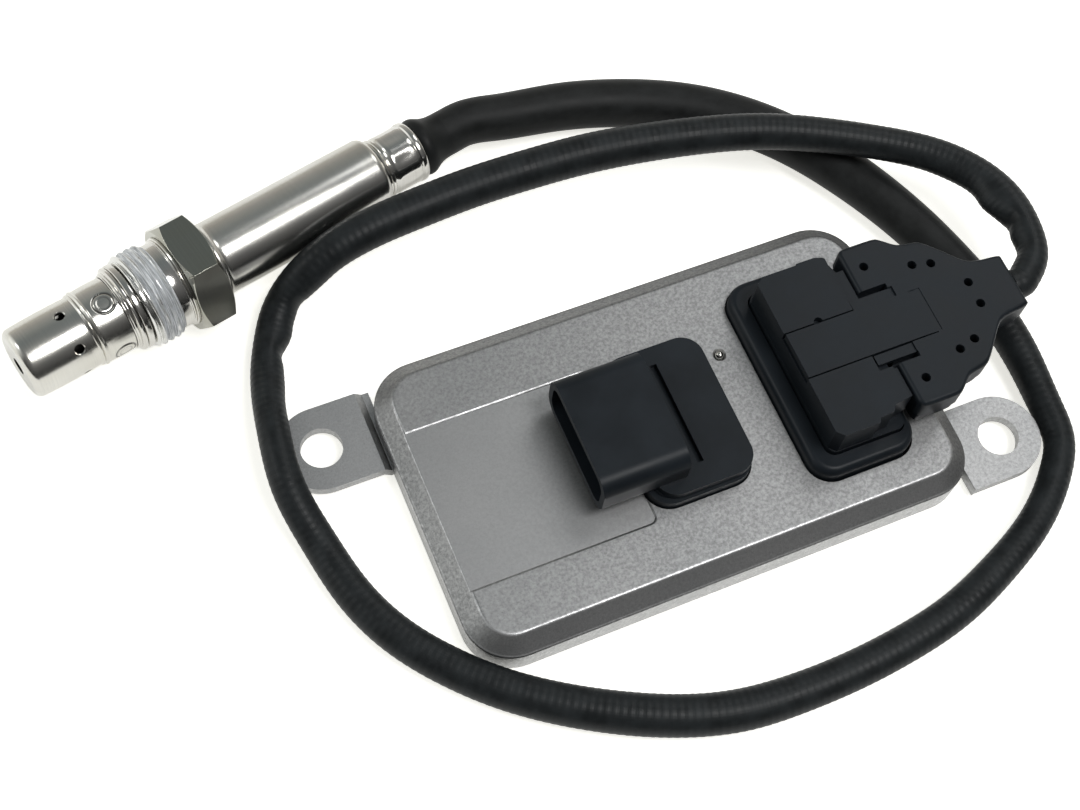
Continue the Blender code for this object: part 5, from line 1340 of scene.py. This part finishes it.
# The label field gets the milled skin. The rim's rounding gets a lighter skin that is partly a painted
# highlight, and the wall's foot a lighter skin that is a painted reflection of the table.
LABEL_SLOT, RUBBED_HIGHLIGHT_SLOT, WALL_REFLECTION_SLOT = 1, 2, 3
for finish in (label_skin, rubbed_edge_and_highlight, wall_foot_and_reflection):
    cover.data.materials.append(finish)
for face in cover.data.polygons:
    height = face.center.z / MM
    over_field = height - PLATEAU_Z + LABEL_DEPTH
    if face.normal.z > 0.99 and abs(over_field) < 0.03:
        face.material_index = LABEL_SLOT
    elif 0.83 < face.normal.z < 0.985 and over_field > -0.12 and face.normal.y < 0.1:
        face.material_index = RUBBED_HIGHLIGHT_SLOT
    elif abs(face.normal.z) < 0.3 and height < RIM_Z - 0.2:
        face.material_index = WALL_REFLECTION_SLOT
print(len(dressing), "pieces dressed")

# %% Frame nodes that stay
stays = {"contact_carrier": ceramic_white, "contact": pin_metal, "sensor_pin": pin_metal,
         "vehicle_pin": pin_metal, "sensing_element": ceramic_white, "front_insulator": ceramic_white,
         "rear_insulator": ceramic_white, "talc_seal": powder_grey, "press_ring": drawn_steel,
         "carrier_spring": drawn_steel, "inner_protection_tube": drawn_steel,
         "buffer_capacitor": polished_steel, "circuit_board": board_green,
         "microcontroller": chip_black, "driver_chip": chip_black, "cable_grommet": boot_rubber,
         "housing_seal": seal_silicone, "vehicle_header_seal": seal_silicone,
         "sensor_header_seal": seal_silicone, "plug_seal": seal_silicone}
finished = 0
for name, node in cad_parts.items():
    for start, finish in stays.items():
        if name.startswith(start):
            for slot in node.material_slots:
                slot.material = finish
            finished += 1
            break
print(finished, "frame nodes finished")

# %% [markdown]
# ## Table and light
# The photograph is a product shot on white. The floor is a pale sheet that ends a little in front of the
# object, and what the camera sees of it is lifted towards white by Light Path, so that the object's soft
# shadow stays. The polished steel shows what the room is like: a softbox overhead that leans to the
# camera's side, a mid-grey wall behind, and a dark room in front. So the world's brightness is made from
# the direction: one ramp over the height for the wall, one for the dark side, mixed from front to back, and
# a bright left end, which lights the left bevel and the edges that face it.

# %% Floor and world
FLOOR_SIDE = 400.0
FLOOR_FRONT = -110.0
FLOOR_BACK = 400.0
floor_finish, floor_tree, floor_shader = new_finish("white table", (0.88, 0.88, 0.87), 0.0, 0.6)
floor_shader.inputs["Specular IOR Level"].default_value = 0.0
lift = floor_tree.nodes.new("ShaderNodeEmission")
lift.inputs["Color"].default_value = (1.0, 0.99, 0.93, 1.0)
lift.inputs["Strength"].default_value = 0.72
rays = floor_tree.nodes.new("ShaderNodeLightPath")
mirrored = maths(floor_tree, "MULTIPLY", rays.outputs["Is Glossy Ray"], 0.5)
seen = maths(floor_tree, "MAXIMUM", rays.outputs["Is Camera Ray"], mirrored)
seen = maths(floor_tree, "MAXIMUM", seen, rays.outputs["Is Transmission Ray"])
added = floor_tree.nodes.new("ShaderNodeAddShader")
floor_tree.links.new(floor_shader.outputs[0], added.inputs[0])
floor_tree.links.new(lift.outputs[0], added.inputs[1])
lifted = choose_shader(floor_tree, seen, floor_shader.outputs[0], added.outputs[0])
floor_tree.links.new(lifted, floor_tree.nodes["Material Output"].inputs["Surface"])
floor_corners = [(-FLOOR_SIDE, FLOOR_FRONT, 0), (FLOOR_SIDE, FLOOR_FRONT, 0), (FLOOR_SIDE, FLOOR_BACK, 0),
                 (-FLOOR_SIDE, FLOOR_BACK, 0)]
floor_mesh = bpy.data.meshes.new("floor")
floor_mesh.from_pydata([Vector(c) * MM for c in floor_corners], [], [(0, 1, 2, 3)])
floor_mesh.materials.append(floor_finish)
floor = bpy.data.objects.new("floor", floor_mesh)
bpy.context.scene.collection.objects.link(floor)

world = bpy.data.worlds.new("studio")
bpy.context.scene.world = world
world.use_nodes = True
air = world.node_tree
rightward, backward, upward = three_ways(air, air.nodes.new("ShaderNodeTexCoord").outputs["Generated"])
wall = ramp(air, upward, [(0.0, (0.62, 0.60, 0.55)), (0.34, (0.40, 0.39, 0.37)), (0.64, (0.30, 0.31, 0.30)),
                          (0.87, (0.19, 0.21, 0.215))])
dark_side = ramp(air, upward, [(0.0, 0.02), (0.31, 0.08), (0.63, 0.14), (0.87, 0.20)])
leftward = maths(air, "MULTIPLY", rightward, -1.0)
bright_left = ramp(air, leftward, [(0.35, 0.0), (0.85, (0.72, 0.75, 0.75))])
lit_wall = blend_colours(air, 1.0, wall, bright_left, "ADD")
room = blend_colours(air, between(air, backward, -0.30, 0.30), dark_side, lit_wall)
fill = air.nodes["Background"]
air.links.new(room, fill.inputs["Color"])
white = air.nodes.new("ShaderNodeBackground")
white.inputs["Color"].default_value = (1.0, 1.0, 1.0, 1.0)
white.inputs["Strength"].default_value = 1.0
sky_rays = air.nodes.new("ShaderNodeLightPath")
sky = choose_shader(air, sky_rays.outputs["Is Camera Ray"], fill.outputs[0], white.outputs[0])
air.links.new(sky, air.nodes["World Output"].inputs["Surface"])
print("floor and world ready")


# %% Lamps
def soft_lamp(name, place, target, wide, tall, power):
    data = bpy.data.lights.new(name, "AREA")
    data.shape = "ELLIPSE"
    data.size = wide
    data.size_y = tall
    data.energy = power
    lamp = bpy.data.objects.new(name, data)
    lamp.location = place
    lamp.rotation_euler = (Vector(target) - Vector(place)).to_track_quat("-Z", "Y").to_euler()
    bpy.context.scene.collection.objects.link(lamp)


soft_lamp("overhead softbox", (0.25, -0.30, 0.95), (0, 0.03, 0), 0.48, 0.42, 5.2)
soft_lamp("left lamp", (-0.72, 0.36, 0.66), (0, 0, 0), 0.25, 0.25, 0.8)
soft_lamp("right lamp", (0.62, 0.42, 0.85), (0, 0, 0), 0.4, 0.6, 1.6)
bpy.context.scene.view_settings.view_transform = "Standard"
print("stage ready")
